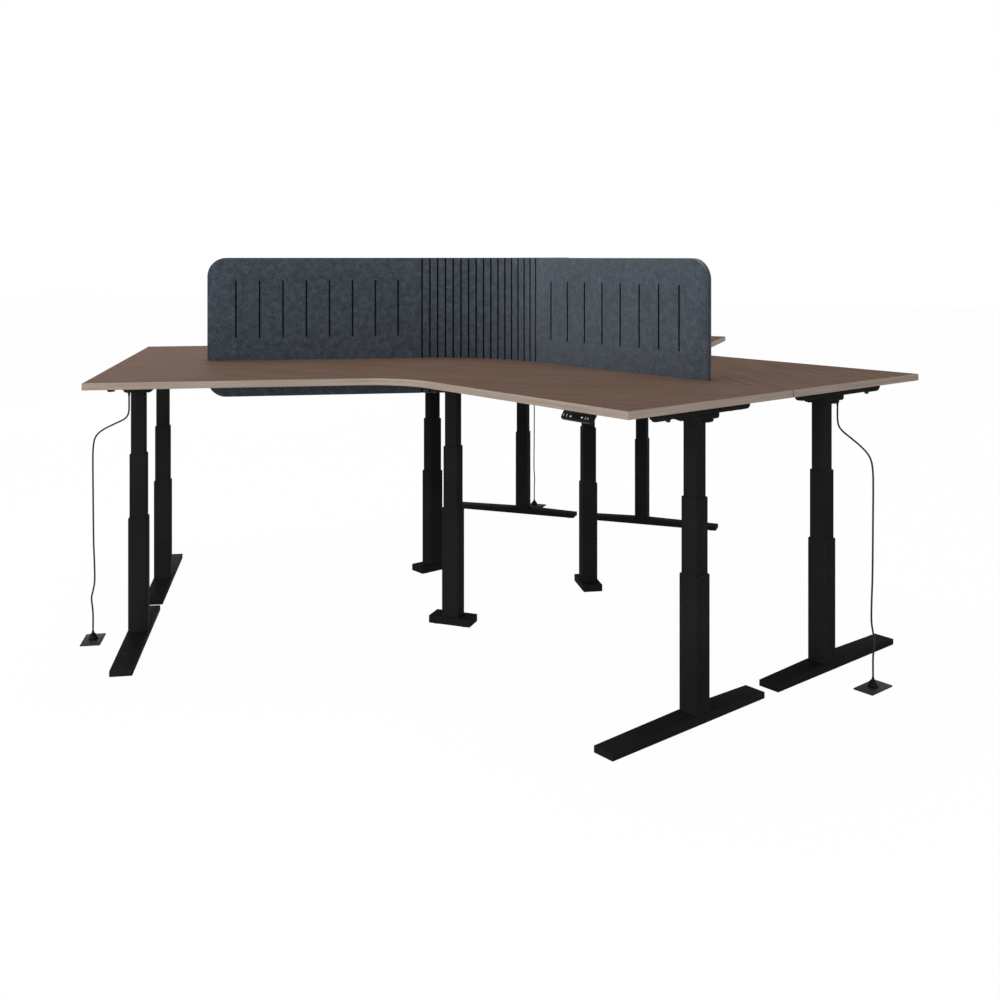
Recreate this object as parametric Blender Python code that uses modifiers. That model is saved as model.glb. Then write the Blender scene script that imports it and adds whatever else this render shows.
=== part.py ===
"""A hub of three height-adjustable desks with felt screens, in metres, +Z up.

Three equal desks meet at a hub, 120 degrees apart. One desk is modelled in its own frame: the hub is the
origin, the user stands on the -Y side and faces +Y, and the two wings run from the hub along the seams that
the desk shares with its neighbours. A place on a wing is given by its reach, the distance from the hub along
the seam, and its setback, the distance from the seam into the desk. The finished meshes are then placed
three times. The part's origin is on the floor, below the middle of the whole hub.
"""

import math

import bmesh
import bpy
from mathutils import Matrix, Vector

# Fits and meshing
FIT = 0.0003
OVERLAP = 0.002
CUT_PAST = 0.010
MERGE_DISTANCE = 1e-6
TURNED_MERGE = 1e-4
FLAT_ANGLE = math.radians(0.1)
SMOOTH_ANGLE = math.radians(35)
ROUND_STEPS = 2

# Wings: the direction of each seam and the side of it, along its left-hand normal, on which the desk lies
WINGS = {"left": (math.radians(210), 1), "right": (math.radians(-30), -1)}
HALF_CORNER = math.radians(60)
DESK_TURNS = {"desk1": 0.0, "desk2": math.radians(120), "desk3": math.radians(-120)}

# Worktop
WORKTOP_HEIGHT = 1.055
WORKTOP_THICKNESS = 0.025
WING_LENGTH = 1.600
WING_DEPTH = 0.800
FRONT_FILLET = 0.280
FRONT_FILLET_STEPS = 14
SEAM_GAP = 0.004

# Screen
SCREEN_THICKNESS = 0.012
SCREEN_END_INSET = 0.360
SCREEN_ABOVE = 0.443
SCREEN_BELOW = 0.150
SCREEN_CORNER = 0.080
SCREEN_CORNER_STEPS = 6
SCREEN_BEND = 0.530
GROOVES = 17
GROOVE_WIDTH = 0.007
GROOVE_DEPTH = 0.008
SLOTS = 8
SLOT_FIRST_REACH = {"left": 0.420, "right": 0.411}
SLOT_PITCH = 0.100
SLOT_WIDTH = 0.007
SLOT_DEPTH = 0.006
SLOT_END_SHARE = 0.45
SLOT_LOW = 0.097
SLOT_HIGH = 0.345

# Columns: outer section of the lowest stage, along the wing first, and what each next stage loses a side
LOWER_SECTION = (0.0735, 0.070)
TUBE_WALL = 0.002
STAGE_GAP = 0.0025
TUBE_CORNER = 0.006
LOWER_TOP = 0.4745
MIDDLE_TOP = 0.7245
STAGE_LENGTH = 0.470
UPPER_FOOT = 0.503
BUSH_HEIGHT = 0.040
SHOE_HEIGHT = 0.060

# Places of the legs
LEG_END_INSET = 0.1285
LEG_SETBACK = 0.355
CORNER_LEG_SHIFT = 0.0371

# Feet
FOOT_WIDTH = 0.080
FOOT_SEAM_GAP = 0.0375
FOOT_FRONT_INSET = 0.026
FOOT_END_TOP = 0.0235
FOOT_SEAT_TOP = 0.031
FOOT_SEAT_MARGIN = 0.003
FOOT_CHAMFER = 0.002
CORNER_FOOT_LENGTH = 0.180
CORNER_FOOT_WIDTH = 0.086
CORNER_FOOT_TOP = 0.032
GLIDE_HEIGHT = 0.0015
GLIDE_RADIUS = 0.018
GLIDE_SIDES = 8
GLIDE_INSET = 0.030

# Drive head on each upper tube, about the column's axis
HEAD_COLLAR = (0.106, 0.074)
HEAD_COLLAR_DEPTH = 0.013
HEAD_CASE = (0.110, 0.130)
HEAD_CASE_DEPTH = 0.029
HEAD_ROUND = 0.009
MOTOR_LENGTH = 0.110
MOTOR_WIDTH = 0.060
MOTOR_DEPTH = 0.022
MOTOR_ROUND = 0.009
GLAND_END_INSET = 0.0265
GLAND_SIDE_INSET = 0.008
GLAND_RADIUS = 0.005
GLAND_LENGTH = 0.022
GLAND_SIDES = 10

# Steel frame under the worktop
RAIL_HEIGHT = 0.020
RAIL_WIDTH = 0.030
RAIL_DROP = 0.001
RAIL_SPREAD = 0.100
BRACKET_WIDTH = 0.019
BRACKET_CLEARANCE = 0.0015
BRACKET_HEIGHT = 0.027
BRACKET_BEHIND_LEG = {"left": 0.247, "right": 0.193}
BRACKET_BEFORE_LEG = {"left": 0.266, "right": 0.281}
BRACKET_ROUND = 0.018
BRACKET_ROUND_STEPS = 4
CORNER_PLATE = (0.170, 0.190, 0.006)
ARM_REACHES = (0.500, 1.000)
ARM_WIDTH = 0.040
ARM_PLATE_WIDTH = 0.050
ARM_THICKNESS = 0.005
ARM_DROP = 0.090

# Handset and control box
HANDSET_WINGS = {"desk1": "right", "desk2": "left", "desk3": "right"}
HANDSET_LENGTH = 0.1245
HANDSET_END_INSET = 0.213
# The case from its end: how far each corner is proud of the board's edge, and how far below its underside
HANDSET_PROFILE = (
    (-0.0240, 0.0000),
    (-0.0240, 0.0080),
    (-0.0070, 0.0280),
    (-0.0010, 0.0307),
    (0.0095, 0.0255),
    (0.0125, 0.0195),
    (0.0000, 0.0000),
)
HANDSET_CHAMFER = 0.003
HANDSET_TONGUE = (0.090, 0.044, 0.005)
CONTROL_BOX = (0.260, 0.100, 0.040)
CONTROL_BOX_RAIL_GAP = 0.060
CONTROL_BOX_ROUND = 0.004

# Mains lead beside the left leg, its plug and the floor plate
CORD_DIAMETER = 0.0065
CORD_SAMPLES = 2
CORD_SIDES = 2
# Below the gland: the share of the way to the plug that the lead has made, and how far it has come down
CORD_FALL = (
    (0.000, 0.000),
    (0.000, 0.028),
    (0.000, 0.056),
    (0.030, 0.077),
    (0.150, 0.091),
    (0.400, 0.110),
    (0.670, 0.130),
    (0.860, 0.149),
    (0.955, 0.171),
    (0.995, 0.205),
    (1.005, 0.255),
    (1.000, 0.355),
)
# Above the plug: how far the lead is off the plug's axis along the wing, and how high it is
CORD_RISE = (
    (-0.0020, 0.3624),
    (-0.0055, 0.2574),
    (-0.0060, 0.1944),
    (-0.0005, 0.1584),
    (0.0055, 0.1294),
    (0.0025, 0.0954),
    (0.0000, 0.0654),
    (0.0000, 0.0000),
)
PLATE_LENGTH = 0.075
PLATE_WIDTH = 0.130
PLATE_THICKNESS = 0.004
PLATE_CORNER = 0.004
# Where each desk's plug stands: how far past the worktop's end, and how far from the leg's line to the user
PLUG_PAST_END = {"desk1": 0.043, "desk2": 0.093, "desk3": 0.065}
PLUG_BEFORE_LEG = {"desk1": 0.011, "desk2": -0.023, "desk3": -0.005}
PLUG_RADIUS = 0.018
PLUG_HEIGHT = 0.033
PLUG_RIM = 0.006
PLUG_NOZZLE_RADIUS = 0.0045
PLUG_NOZZLE_LENGTH = 0.006
PLUG_DOME_STEPS = 4
PLUG_SWELL = 1.6
PLUG_STEPS = 12

# Sizes and places worked out from those above
SCREEN_REACH = WING_LENGTH - SCREEN_END_INSET
LEG_REACH = WING_LENGTH - LEG_END_INSET
HANDSET_REACH = WING_LENGTH - HANDSET_END_INSET
CORNER_LEG_BACK = LEG_SETBACK / math.sin(HALF_CORNER) + CORNER_LEG_SHIFT
FOOT_SETBACK_FAR = WING_DEPTH - FOOT_FRONT_INSET
MIDDLE_SECTION = tuple(side - 2 * (TUBE_WALL + STAGE_GAP) for side in LOWER_SECTION)
UPPER_SECTION = tuple(side - 2 * (TUBE_WALL + STAGE_GAP) for side in MIDDLE_SECTION)
GLAND_PLACE = (HEAD_CASE[0] / 2 - GLAND_END_INSET, HEAD_CASE[1] / 2 - GLAND_SIDE_INSET)
RAIL_SETBACKS = (LEG_SETBACK - RAIL_SPREAD / 2, LEG_SETBACK + RAIL_SPREAD / 2)
CONTROL_BOX_REACH = sum(ARM_REACHES) / 2
CONTROL_BOX_SETBACK = RAIL_SETBACKS[0] - RAIL_WIDTH / 2 - CONTROL_BOX_RAIL_GAP - CONTROL_BOX[1] / 2
UNDERSIDE = WORKTOP_HEIGHT - WORKTOP_THICKNESS
FRAME_TOP = UNDERSIDE - FIT
RAIL_TOP = FRAME_TOP - RAIL_DROP
RAIL_BOTTOM = RAIL_TOP - RAIL_HEIGHT
HEAD_TOP = RAIL_BOTTOM - FIT
CASE_BOTTOM = HEAD_TOP - HEAD_CASE_DEPTH
HEAD_BOTTOM = CASE_BOTTOM - HEAD_COLLAR_DEPTH
GLAND_BOTTOM = CASE_BOTTOM - GLAND_LENGTH
BRACKET_REACH = LEG_REACH + HEAD_CASE[0] / 2 + BRACKET_CLEARANCE + BRACKET_WIDTH / 2
PLUG_BOTTOM = PLATE_THICKNESS + FIT
PLUG_TOP = PLUG_BOTTOM + PLUG_HEIGHT
SCREEN_BACK = SEAM_GAP / 2
SCREEN_FRONT = SCREEN_BACK + SCREEN_THICKNESS
WORKTOP_REAR = SCREEN_FRONT + FIT
SCREEN_TOP = WORKTOP_HEIGHT + SCREEN_ABOVE
SCREEN_BOTTOM = WORKTOP_HEIGHT - SCREEN_BELOW
HUB_Y = (WING_LENGTH * math.cos(HALF_CORNER) + WING_DEPTH * math.sin(HALF_CORNER) - WING_LENGTH) / 2


def remove_everything():
    for leftover in list(bpy.data.objects):
        bpy.data.objects.remove(leftover)


def new_collection(name):
    collection = bpy.data.collections.new(name)
    bpy.context.scene.collection.children.link(collection)
    return collection


def srgb(hex_colour):
    """The linear colour of an sRGB hex value."""
    channels = [int(hex_colour[i : i + 2], 16) / 255 for i in (0, 2, 4)]
    linear = [c / 12.92 if c <= 0.04045 else ((c + 0.055) / 1.055) ** 2.4 for c in channels]
    return (*linear, 1.0)


def material(name, hex_colour, roughness, metallic=0.0):
    made = bpy.data.materials.new(name)
    made.use_nodes = True
    shader = made.node_tree.nodes["Principled BSDF"]
    shader.inputs["Base Color"].default_value = srgb(hex_colour)
    shader.inputs["Roughness"].default_value = roughness
    shader.inputs["Metallic"].default_value = metallic
    return made


def on_wing(side, reach, setback, height=0.0):
    """The place on a wing at this distance from the hub and from the seam."""
    angle, inward = WINGS[side]
    along = Vector((math.cos(angle), math.sin(angle), 0.0))
    across = Vector((-math.sin(angle), math.cos(angle), 0.0)) * inward
    return along * reach + across * setback + Vector((0.0, 0.0, height))


def corner_arc(setback, radius, steps):
    """Points of the arc that joins the right wing's line at this setback to the left wing's."""
    centre_y = -(setback + radius) / math.sin(HALF_CORNER)
    sweep = math.pi - 2 * HALF_CORNER
    angles = [HALF_CORNER + sweep * i / steps for i in range(steps + 1)]
    return [(radius * math.cos(a), centre_y + radius * math.sin(a)) for a in angles]


def scratch(name, mesh):
    """A piece on its way to a finished mesh, or a cutter."""
    piece = bpy.data.objects.new(name, mesh)
    cutters.objects.link(piece)
    piece.hide_render = True
    piece.display_type = "WIRE"
    return piece


def evaluated_mesh(piece, name):
    bpy.context.view_layer.update()
    graph = bpy.context.evaluated_depsgraph_get()
    mesh = bpy.data.meshes.new_from_object(piece.evaluated_get(graph), depsgraph=graph)
    mesh.transform(piece.matrix_world)
    mesh.name = name
    return mesh


def flat_plate(name, outline, bottom, top):
    """A plate of this outline, as a filled 2D curve extruded from bottom to top, made a mesh."""
    curve = bpy.data.curves.new(name, "CURVE")
    curve.dimensions = "2D"
    curve.fill_mode = "BOTH"
    curve.extrude = (top - bottom) / 2
    spline = curve.splines.new("POLY")
    spline.points.add(len(outline) - 1)
    for point, (x, y) in zip(spline.points, outline):
        point.co = (x, y, 0.0, 1.0)
    spline.use_cyclic_u = True
    drawn = scratch(name, curve)
    drawn.location.z = (top + bottom) / 2
    mesh = evaluated_mesh(drawn, name)
    bpy.data.objects.remove(drawn)
    shape = bmesh.new()
    shape.from_mesh(mesh)
    bmesh.ops.remove_doubles(shape, verts=shape.verts, dist=MERGE_DISTANCE)
    bmesh.ops.dissolve_limit(shape, angle_limit=FLAT_ANGLE, verts=shape.verts, edges=shape.edges)
    bmesh.ops.recalc_face_normals(shape, faces=shape.faces)
    shape.to_mesh(mesh)
    shape.free()
    return scratch(name, mesh)


def block(name, size, centre, turn=0.0, rounded=None):
    """A box about its centre, turned about Z. rounded gives a test for the edges to round, radius and steps.

    The test is given the middle of each edge of a cube that reaches from -1 to 1, and the edge's direction.
    """
    shape = bmesh.new()
    bmesh.ops.create_cube(shape, size=1.0)
    if rounded:
        test, radius, steps = rounded
        picked = []
        for edge in shape.edges:
            middle = edge.verts[0].co + edge.verts[1].co
            direction = (edge.verts[1].co - edge.verts[0].co).normalized()
            if test(middle, direction):
                picked.append(edge)
        bmesh.ops.scale(shape, vec=size, verts=shape.verts)
        bmesh.ops.bevel(shape, geom=picked, offset=radius, segments=steps, profile=0.5, affect="EDGES")
    else:
        bmesh.ops.scale(shape, vec=size, verts=shape.verts)
    bmesh.ops.transform(
        shape, matrix=Matrix.Translation(centre) @ Matrix.Rotation(turn, 4, "Z"), verts=shape.verts
    )
    mesh = bpy.data.meshes.new(name)
    shape.to_mesh(mesh)
    shape.free()
    return scratch(name, mesh)


def upright(middle, direction):
    return abs(direction.z) > 0.5


def level_ends(middle, direction):
    """The four edges that run along Y."""
    return abs(direction.y) > 0.5


def low_ends(middle, direction):
    """The two lower edges across the ends of a bar that lies along Y."""
    return abs(direction.x) > 0.5 and middle.z < 0


def high_rim(middle, direction):
    """The four edges round the top."""
    return abs(direction.z) < 0.5 and middle.z > 0


def low_rim(middle, direction):
    """The four edges round the bottom."""
    return abs(direction.z) < 0.5 and middle.z < 0


def disc(name, radius, bottom, top, centre, sides):
    shape = bmesh.new()
    middle = Matrix.Translation((*centre, (top + bottom) / 2))
    bmesh.ops.create_cone(
        shape,
        cap_ends=True,
        segments=sides,
        radius1=radius,
        radius2=radius,
        depth=top - bottom,
        matrix=middle,
    )
    mesh = bpy.data.meshes.new(name)
    shape.to_mesh(mesh)
    shape.free()
    return scratch(name, mesh)


def boolean(piece, operation, other):
    step = piece.modifiers.new(other.name, "BOOLEAN")
    step.operation = operation
    step.object = other


def cut(piece, *others):
    for other in others:
        boolean(piece, "DIFFERENCE", other)


def fuse(piece, *others):
    for other in others:
        boolean(piece, "UNION", other)


def finished_mesh(piece, name, smooth=False):
    """The mesh that the piece's modifiers give; the piece is removed."""
    mesh = evaluated_mesh(piece, name)
    bpy.data.objects.remove(piece)
    if smooth:
        mesh.shade_smooth()
        mesh.set_sharp_from_angle(angle=SMOOTH_ANGLE)
    return mesh


def worktop_mesh():
    """A boomerang board, cut back along the screen and rounded in the corner where the user stands."""
    recess_end = SCREEN_REACH + FIT
    rear_steps = 2 * (GROOVES - 1)
    outline = [
        on_wing("right", WING_LENGTH, WING_DEPTH).xy,
        on_wing("right", WING_LENGTH, SEAM_GAP / 2).xy,
        on_wing("right", recess_end, SEAM_GAP / 2).xy,
        on_wing("right", recess_end, WORKTOP_REAR).xy,
        *corner_arc(WORKTOP_REAR, SCREEN_BEND - FIT, rear_steps),
        on_wing("left", recess_end, WORKTOP_REAR).xy,
        on_wing("left", recess_end, SEAM_GAP / 2).xy,
        on_wing("left", WING_LENGTH, SEAM_GAP / 2).xy,
        on_wing("left", WING_LENGTH, WING_DEPTH).xy,
        *reversed(corner_arc(WING_DEPTH, FRONT_FILLET, FRONT_FILLET_STEPS)),
    ]
    board = flat_plate("worktop_board", outline, UNDERSIDE, WORKTOP_HEIGHT)
    return finished_mesh(board, "worktop")


def grooved_arc():
    """The screen's face in the bend: V-grooves at an even pitch with a land between each two."""
    centre_y = -(SCREEN_FRONT + SCREEN_BEND) / math.sin(HALF_CORNER)
    pitch = (math.pi - 2 * HALF_CORNER) / (GROOVES - 1)
    half_groove = GROOVE_WIDTH / 2 / SCREEN_BEND
    points = []
    for i in range(GROOVES):
        middle = HALF_CORNER + pitch * i
        turns = [
            (middle - half_groove, SCREEN_BEND),
            (middle, SCREEN_BEND + GROOVE_DEPTH),
            (middle + half_groove, SCREEN_BEND),
        ]
        if i < GROOVES - 1:
            turns.append((middle + pitch / 2, SCREEN_BEND))
        points += [(r * math.cos(a), centre_y + r * math.sin(a)) for a, r in turns]
    return points


def slot_cutter(side, reach):
    angle, _ = WINGS[side]
    height = SLOT_HIGH - SLOT_LOW
    middle = WORKTOP_HEIGHT + (SLOT_HIGH + SLOT_LOW) / 2
    size = (SLOT_WIDTH, SLOT_DEPTH + CUT_PAST, height)
    centre = on_wing(side, reach, SCREEN_FRONT - SLOT_DEPTH + size[1] / 2, middle)
    return block(f"{side}_slot", size, centre, angle, (level_ends, SLOT_WIDTH * SLOT_END_SHARE, 1))


def screen_mesh():
    """One felt panel, bent round the hub, with bending grooves in the bend and slots along both wings."""
    back_arc = corner_arc(SCREEN_BACK, SCREEN_BEND + SCREEN_THICKNESS, GROOVES - 1)
    outline = [
        on_wing("right", SCREEN_REACH, SCREEN_FRONT).xy,
        *grooved_arc(),
        on_wing("left", SCREEN_REACH, SCREEN_FRONT).xy,
        on_wing("left", SCREEN_REACH, SCREEN_BACK).xy,
        *reversed(back_arc),
        on_wing("right", SCREEN_REACH, SCREEN_BACK).xy,
    ]
    panel = flat_plate("screen_panel", outline, SCREEN_BOTTOM, SCREEN_TOP)
    shape = bmesh.new()
    shape.from_mesh(panel.data)
    ends = [on_wing(side, SCREEN_REACH, SCREEN_BACK + SCREEN_THICKNESS / 2) for side in WINGS]
    corners = []
    for edge in shape.edges:
        middle = (edge.verts[0].co + edge.verts[1].co) / 2
        level = abs(edge.verts[0].co.z - edge.verts[1].co.z) < OVERLAP
        if level and any((middle.xy - end.xy).length < OVERLAP for end in ends):
            corners.append(edge)
    bmesh.ops.bevel(
        shape, geom=corners, offset=SCREEN_CORNER, segments=SCREEN_CORNER_STEPS, profile=0.5, affect="EDGES"
    )
    shape.to_mesh(panel.data)
    shape.free()
    slots = []
    for side, first in SLOT_FIRST_REACH.items():
        slots += [slot_cutter(side, first + SLOT_PITCH * i) for i in range(SLOTS)]
    cut(panel, *slots)
    return finished_mesh(panel, "screen")


def chevron(setback, width):
    """The outline of a rail that follows both wings at this setback and is mitred in the corner."""
    near = setback - width / 2
    far = setback + width / 2
    return [
        on_wing("right", BRACKET_REACH, near).xy,
        (0.0, -near / math.sin(HALF_CORNER)),
        on_wing("left", BRACKET_REACH, near).xy,
        on_wing("left", BRACKET_REACH, far).xy,
        (0.0, -far / math.sin(HALF_CORNER)),
        on_wing("right", BRACKET_REACH, far).xy,
    ]


def steel_frame_mesh():
    """Two mitred rails with side brackets, a corner plate over the corner leg and arms to the screen."""
    first, second = [
        flat_plate("rail", chevron(setback, RAIL_WIDTH), RAIL_BOTTOM, RAIL_TOP) for setback in RAIL_SETBACKS
    ]
    plate_middle = Vector((0.0, -CORNER_LEG_BACK, FRAME_TOP - CORNER_PLATE[2] / 2))
    fuse(first, second, block("corner_plate", CORNER_PLATE, plate_middle))
    bracket_ends = (low_ends, BRACKET_ROUND, BRACKET_ROUND_STEPS)
    arm_near = WORKTOP_REAR + ARM_THICKNESS / 2
    arm_far = RAIL_SETBACKS[0]
    arm_size = (ARM_WIDTH, arm_far - arm_near, ARM_THICKNESS)
    plate_size = (ARM_PLATE_WIDTH, ARM_THICKNESS, ARM_DROP)
    for side, (angle, _) in WINGS.items():
        near = LEG_SETBACK - BRACKET_BEHIND_LEG[side]
        far = LEG_SETBACK + BRACKET_BEFORE_LEG[side]
        bracket_size = (BRACKET_WIDTH, far - near, BRACKET_HEIGHT)
        centre = on_wing(side, BRACKET_REACH, (near + far) / 2, FRAME_TOP - BRACKET_HEIGHT / 2)
        fuse(first, block(f"{side}_bracket", bracket_size, centre, angle, bracket_ends))
        for reach in ARM_REACHES:
            arm_height = RAIL_TOP - ARM_THICKNESS / 2 - OVERLAP
            arm = on_wing(side, reach, (arm_far + arm_near) / 2, arm_height)
            plate = on_wing(side, reach, arm_near, FRAME_TOP - ARM_DROP / 2)
            fuse(first, block(f"{side}_arm", arm_size, arm, angle))
            fuse(first, block(f"{side}_arm_plate", plate_size, plate, angle))
    return finished_mesh(first, "steel_frame")


def tube(name, section, bottom, top):
    """A bar of this section with rounded upright edges, about the Z axis."""
    size = (*section, top - bottom)
    return block(name, size, (0.0, 0.0, (top + bottom) / 2), 0.0, (upright, TUBE_CORNER, ROUND_STEPS))


def grown(section, by):
    return tuple(side + 2 * by for side in section)


def lower_tube_mesh(foot_top):
    """The fixed stage: a tube on its foot, with a guide bush for the middle stage at its mouth."""
    body = tube("lower_tube", LOWER_SECTION, foot_top + FIT, LOWER_TOP)
    bore = tube("lower_bore", grown(LOWER_SECTION, -TUBE_WALL), foot_top - CUT_PAST, LOWER_TOP - BUSH_HEIGHT)
    mouth = tube("lower_mouth", grown(MIDDLE_SECTION, FIT), foot_top - CUT_PAST, LOWER_TOP + CUT_PAST)
    cut(body, bore, mouth)
    return finished_mesh(body, "lower_tube", smooth=True)


def middle_tube_mesh():
    """The middle stage: a tube with a glide shoe at its foot and a guide bush at its mouth."""
    foot = MIDDLE_TOP - STAGE_LENGTH
    body = tube("middle_tube", MIDDLE_SECTION, foot, MIDDLE_TOP)
    fuse(body, tube("middle_shoe", grown(LOWER_SECTION, -TUBE_WALL - FIT), foot, foot + SHOE_HEIGHT))
    bore = tube("middle_bore", grown(MIDDLE_SECTION, -TUBE_WALL), foot - CUT_PAST, MIDDLE_TOP - BUSH_HEIGHT)
    mouth = tube("middle_mouth", grown(UPPER_SECTION, FIT), foot - CUT_PAST, MIDDLE_TOP + CUT_PAST)
    cut(body, bore, mouth)
    return finished_mesh(body, "middle_tube", smooth=True)


def upper_tube_mesh(has_gland):
    """The upper stage: a tube with a glide shoe at its foot and the drive head with its motor on top."""
    body = tube("upper_tube", UPPER_SECTION, UPPER_FOOT, HEAD_TOP - OVERLAP)
    shoe_section = grown(MIDDLE_SECTION, -TUBE_WALL - FIT)
    shoe = tube("upper_shoe", shoe_section, UPPER_FOOT, UPPER_FOOT + SHOE_HEIGHT)
    collar_size = (*HEAD_COLLAR, HEAD_COLLAR_DEPTH + OVERLAP)
    collar_middle = Vector((0.0, 0.0, HEAD_BOTTOM + collar_size[2] / 2))
    collar = block("head_collar", collar_size, collar_middle, 0.0, (low_rim, HEAD_ROUND, ROUND_STEPS))
    case_size = (*HEAD_CASE, HEAD_CASE_DEPTH)
    case_middle = Vector((0.0, 0.0, CASE_BOTTOM + HEAD_CASE_DEPTH / 2))
    case = block("head_case", case_size, case_middle, 0.0, (low_rim, HEAD_ROUND, ROUND_STEPS))
    motor_size = (MOTOR_LENGTH + HEAD_CASE[0] / 2, MOTOR_WIDTH, MOTOR_DEPTH)
    motor_middle = Vector((-motor_size[0] / 2, 0.0, HEAD_TOP - MOTOR_DEPTH / 2 - OVERLAP))
    motor = block("motor_housing", motor_size, motor_middle, 0.0, (low_rim, MOTOR_ROUND, ROUND_STEPS))
    bore = tube("upper_bore", grown(UPPER_SECTION, -TUBE_WALL), UPPER_FOOT - CUT_PAST, HEAD_BOTTOM)
    fuse(body, shoe, collar, case, motor)
    if has_gland:
        gland_top = CASE_BOTTOM + HEAD_ROUND
        fuse(body, disc("gland", GLAND_RADIUS, GLAND_BOTTOM, gland_top, GLAND_PLACE, GLAND_SIDES))
    cut(body, bore)
    return finished_mesh(body, "upper_tube", smooth=True)


def foot_mesh(name, length, width, end_top, seat_middle=0.0, seat_top=None):
    """A flat bar along Y on four glides. With a seat_top it rises from its ends to the column's seat."""
    size = (width, length, end_top - GLIDE_HEIGHT)
    bar = block(name, size, Vector((0.0, 0.0, GLIDE_HEIGHT + size[2] / 2)))
    shape = bmesh.new()
    shape.from_mesh(bar.data)
    if seat_top:
        seat_half = LOWER_SECTION[1] / 2 + FOOT_SEAT_MARGIN
        for y in (seat_middle - seat_half, seat_middle + seat_half):
            everything = [*shape.verts, *shape.edges, *shape.faces]
            bmesh.ops.bisect_plane(shape, geom=everything, plane_co=(0.0, y, 0.0), plane_no=(0.0, 1.0, 0.0))
        for vert in shape.verts:
            on_seat = abs(vert.co.y - seat_middle) < seat_half + OVERLAP
            if on_seat and vert.co.z > end_top - OVERLAP:
                vert.co.z = seat_top
    rim = []
    for edge in shape.edges:
        high = min(vert.co.z for vert in edge.verts) > end_top - OVERLAP
        if high and edge.calc_face_angle() > SMOOTH_ANGLE:
            rim.append(edge)
    bmesh.ops.bevel(shape, geom=rim, offset=FOOT_CHAMFER, segments=1, profile=0.5, affect="EDGES")
    shape.to_mesh(bar.data)
    shape.free()
    x = width / 2 - GLIDE_RADIUS - FOOT_CHAMFER
    y = length / 2 - GLIDE_INSET
    for sign_x in (-1, 1):
        for sign_y in (-1, 1):
            centre = (sign_x * x, sign_y * y)
            fuse(bar, disc("glide", GLIDE_RADIUS, 0.0, GLIDE_HEIGHT + OVERLAP, centre, GLIDE_SIDES))
    return finished_mesh(bar, name)


def handset_mesh():
    """A case under the front edge with a leaning face on the -Y side and a tongue screwed to the board.

    It is made about the middle of its length, with the board's front edge at Y = 0.
    """
    shape = bmesh.new()
    ends = []
    for x in (-HANDSET_LENGTH / 2, HANDSET_LENGTH / 2):
        ends.append([shape.verts.new((x, -proud, FRAME_TOP - drop)) for proud, drop in HANDSET_PROFILE])
    caps = [shape.faces.new(end) for end in ends]
    for i in range(len(HANDSET_PROFILE)):
        shape.faces.new((ends[0][i - 1], ends[0][i], ends[1][i], ends[1][i - 1]))
    bmesh.ops.recalc_face_normals(shape, faces=shape.faces)
    rims = [edge for cap in caps for edge in cap.edges]
    bmesh.ops.bevel(
        shape, geom=rims, offset=HANDSET_CHAMFER, segments=ROUND_STEPS, profile=0.5, affect="EDGES"
    )
    mesh = bpy.data.meshes.new("handset_case")
    shape.to_mesh(mesh)
    shape.free()
    case = scratch("handset_case", mesh)
    back = -HANDSET_PROFILE[0][0]
    tongue_middle = (0.0, back - OVERLAP + HANDSET_TONGUE[1] / 2, FRAME_TOP - OVERLAP - HANDSET_TONGUE[2] / 2)
    fuse(case, block("handset_tongue", HANDSET_TONGUE, tongue_middle))
    return finished_mesh(case, "handset")


def control_box_mesh():
    centre = (0.0, 0.0, FRAME_TOP - CONTROL_BOX[2] / 2)
    box = block("control_box_case", CONTROL_BOX, centre, 0.0, (low_rim, CONTROL_BOX_ROUND, ROUND_STEPS))
    return finished_mesh(box, "control_box")


def smooth_route(points, samples):
    """Points read from a smooth curve through the given ones."""
    ends = [2 * points[0] - points[1], *points, 2 * points[-1] - points[-2]]
    read = []
    for i in range(len(points) - 1):
        before, start, end, after = ends[i : i + 4]
        for j in range(samples):
            t = j / samples
            bend = 2 * before - 5 * start + 4 * end - after
            twist = 3 * start - before - 3 * end + after
            read.append(start + ((end - before) * t + bend * t**2 + twist * t**3) / 2)
    return [*read, points[-1]]


def plug_spot(desk):
    """Reach and setback of this desk's plug on its left wing."""
    return WING_LENGTH + PLUG_PAST_END[desk], LEG_SETBACK + PLUG_BEFORE_LEG[desk]


def cord_route(desk):
    """The lead's own points: down from the gland beside the leg, then down to the plug on the floor."""
    plug_reach, plug_setback = plug_spot(desk)
    reach = LEG_REACH + GLAND_PLACE[0]
    setback = LEG_SETBACK + GLAND_PLACE[1]
    route = []
    for share, drop in CORD_FALL:
        along = reach + (plug_reach - reach) * share
        across = setback + (plug_setback - setback) * share
        route.append(on_wing("left", along, across, GLAND_BOTTOM - FIT - drop))
    for along, height in CORD_RISE:
        route.append(on_wing("left", plug_reach + along, plug_setback, PLUG_TOP + FIT + height))
    return route


def power_cord_curve(desk):
    points = smooth_route(cord_route(desk), CORD_SAMPLES)
    curve = bpy.data.curves.new(f"{desk}_power_cord", "CURVE")
    curve.dimensions = "3D"
    curve.bevel_depth = CORD_DIAMETER / 2
    curve.bevel_resolution = CORD_SIDES
    curve.use_fill_caps = True
    spline = curve.splines.new("POLY")
    spline.points.add(len(points) - 1)
    for point, spot in zip(spline.points, points):
        point.co = (*spot, 1.0)
    return curve


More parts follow.
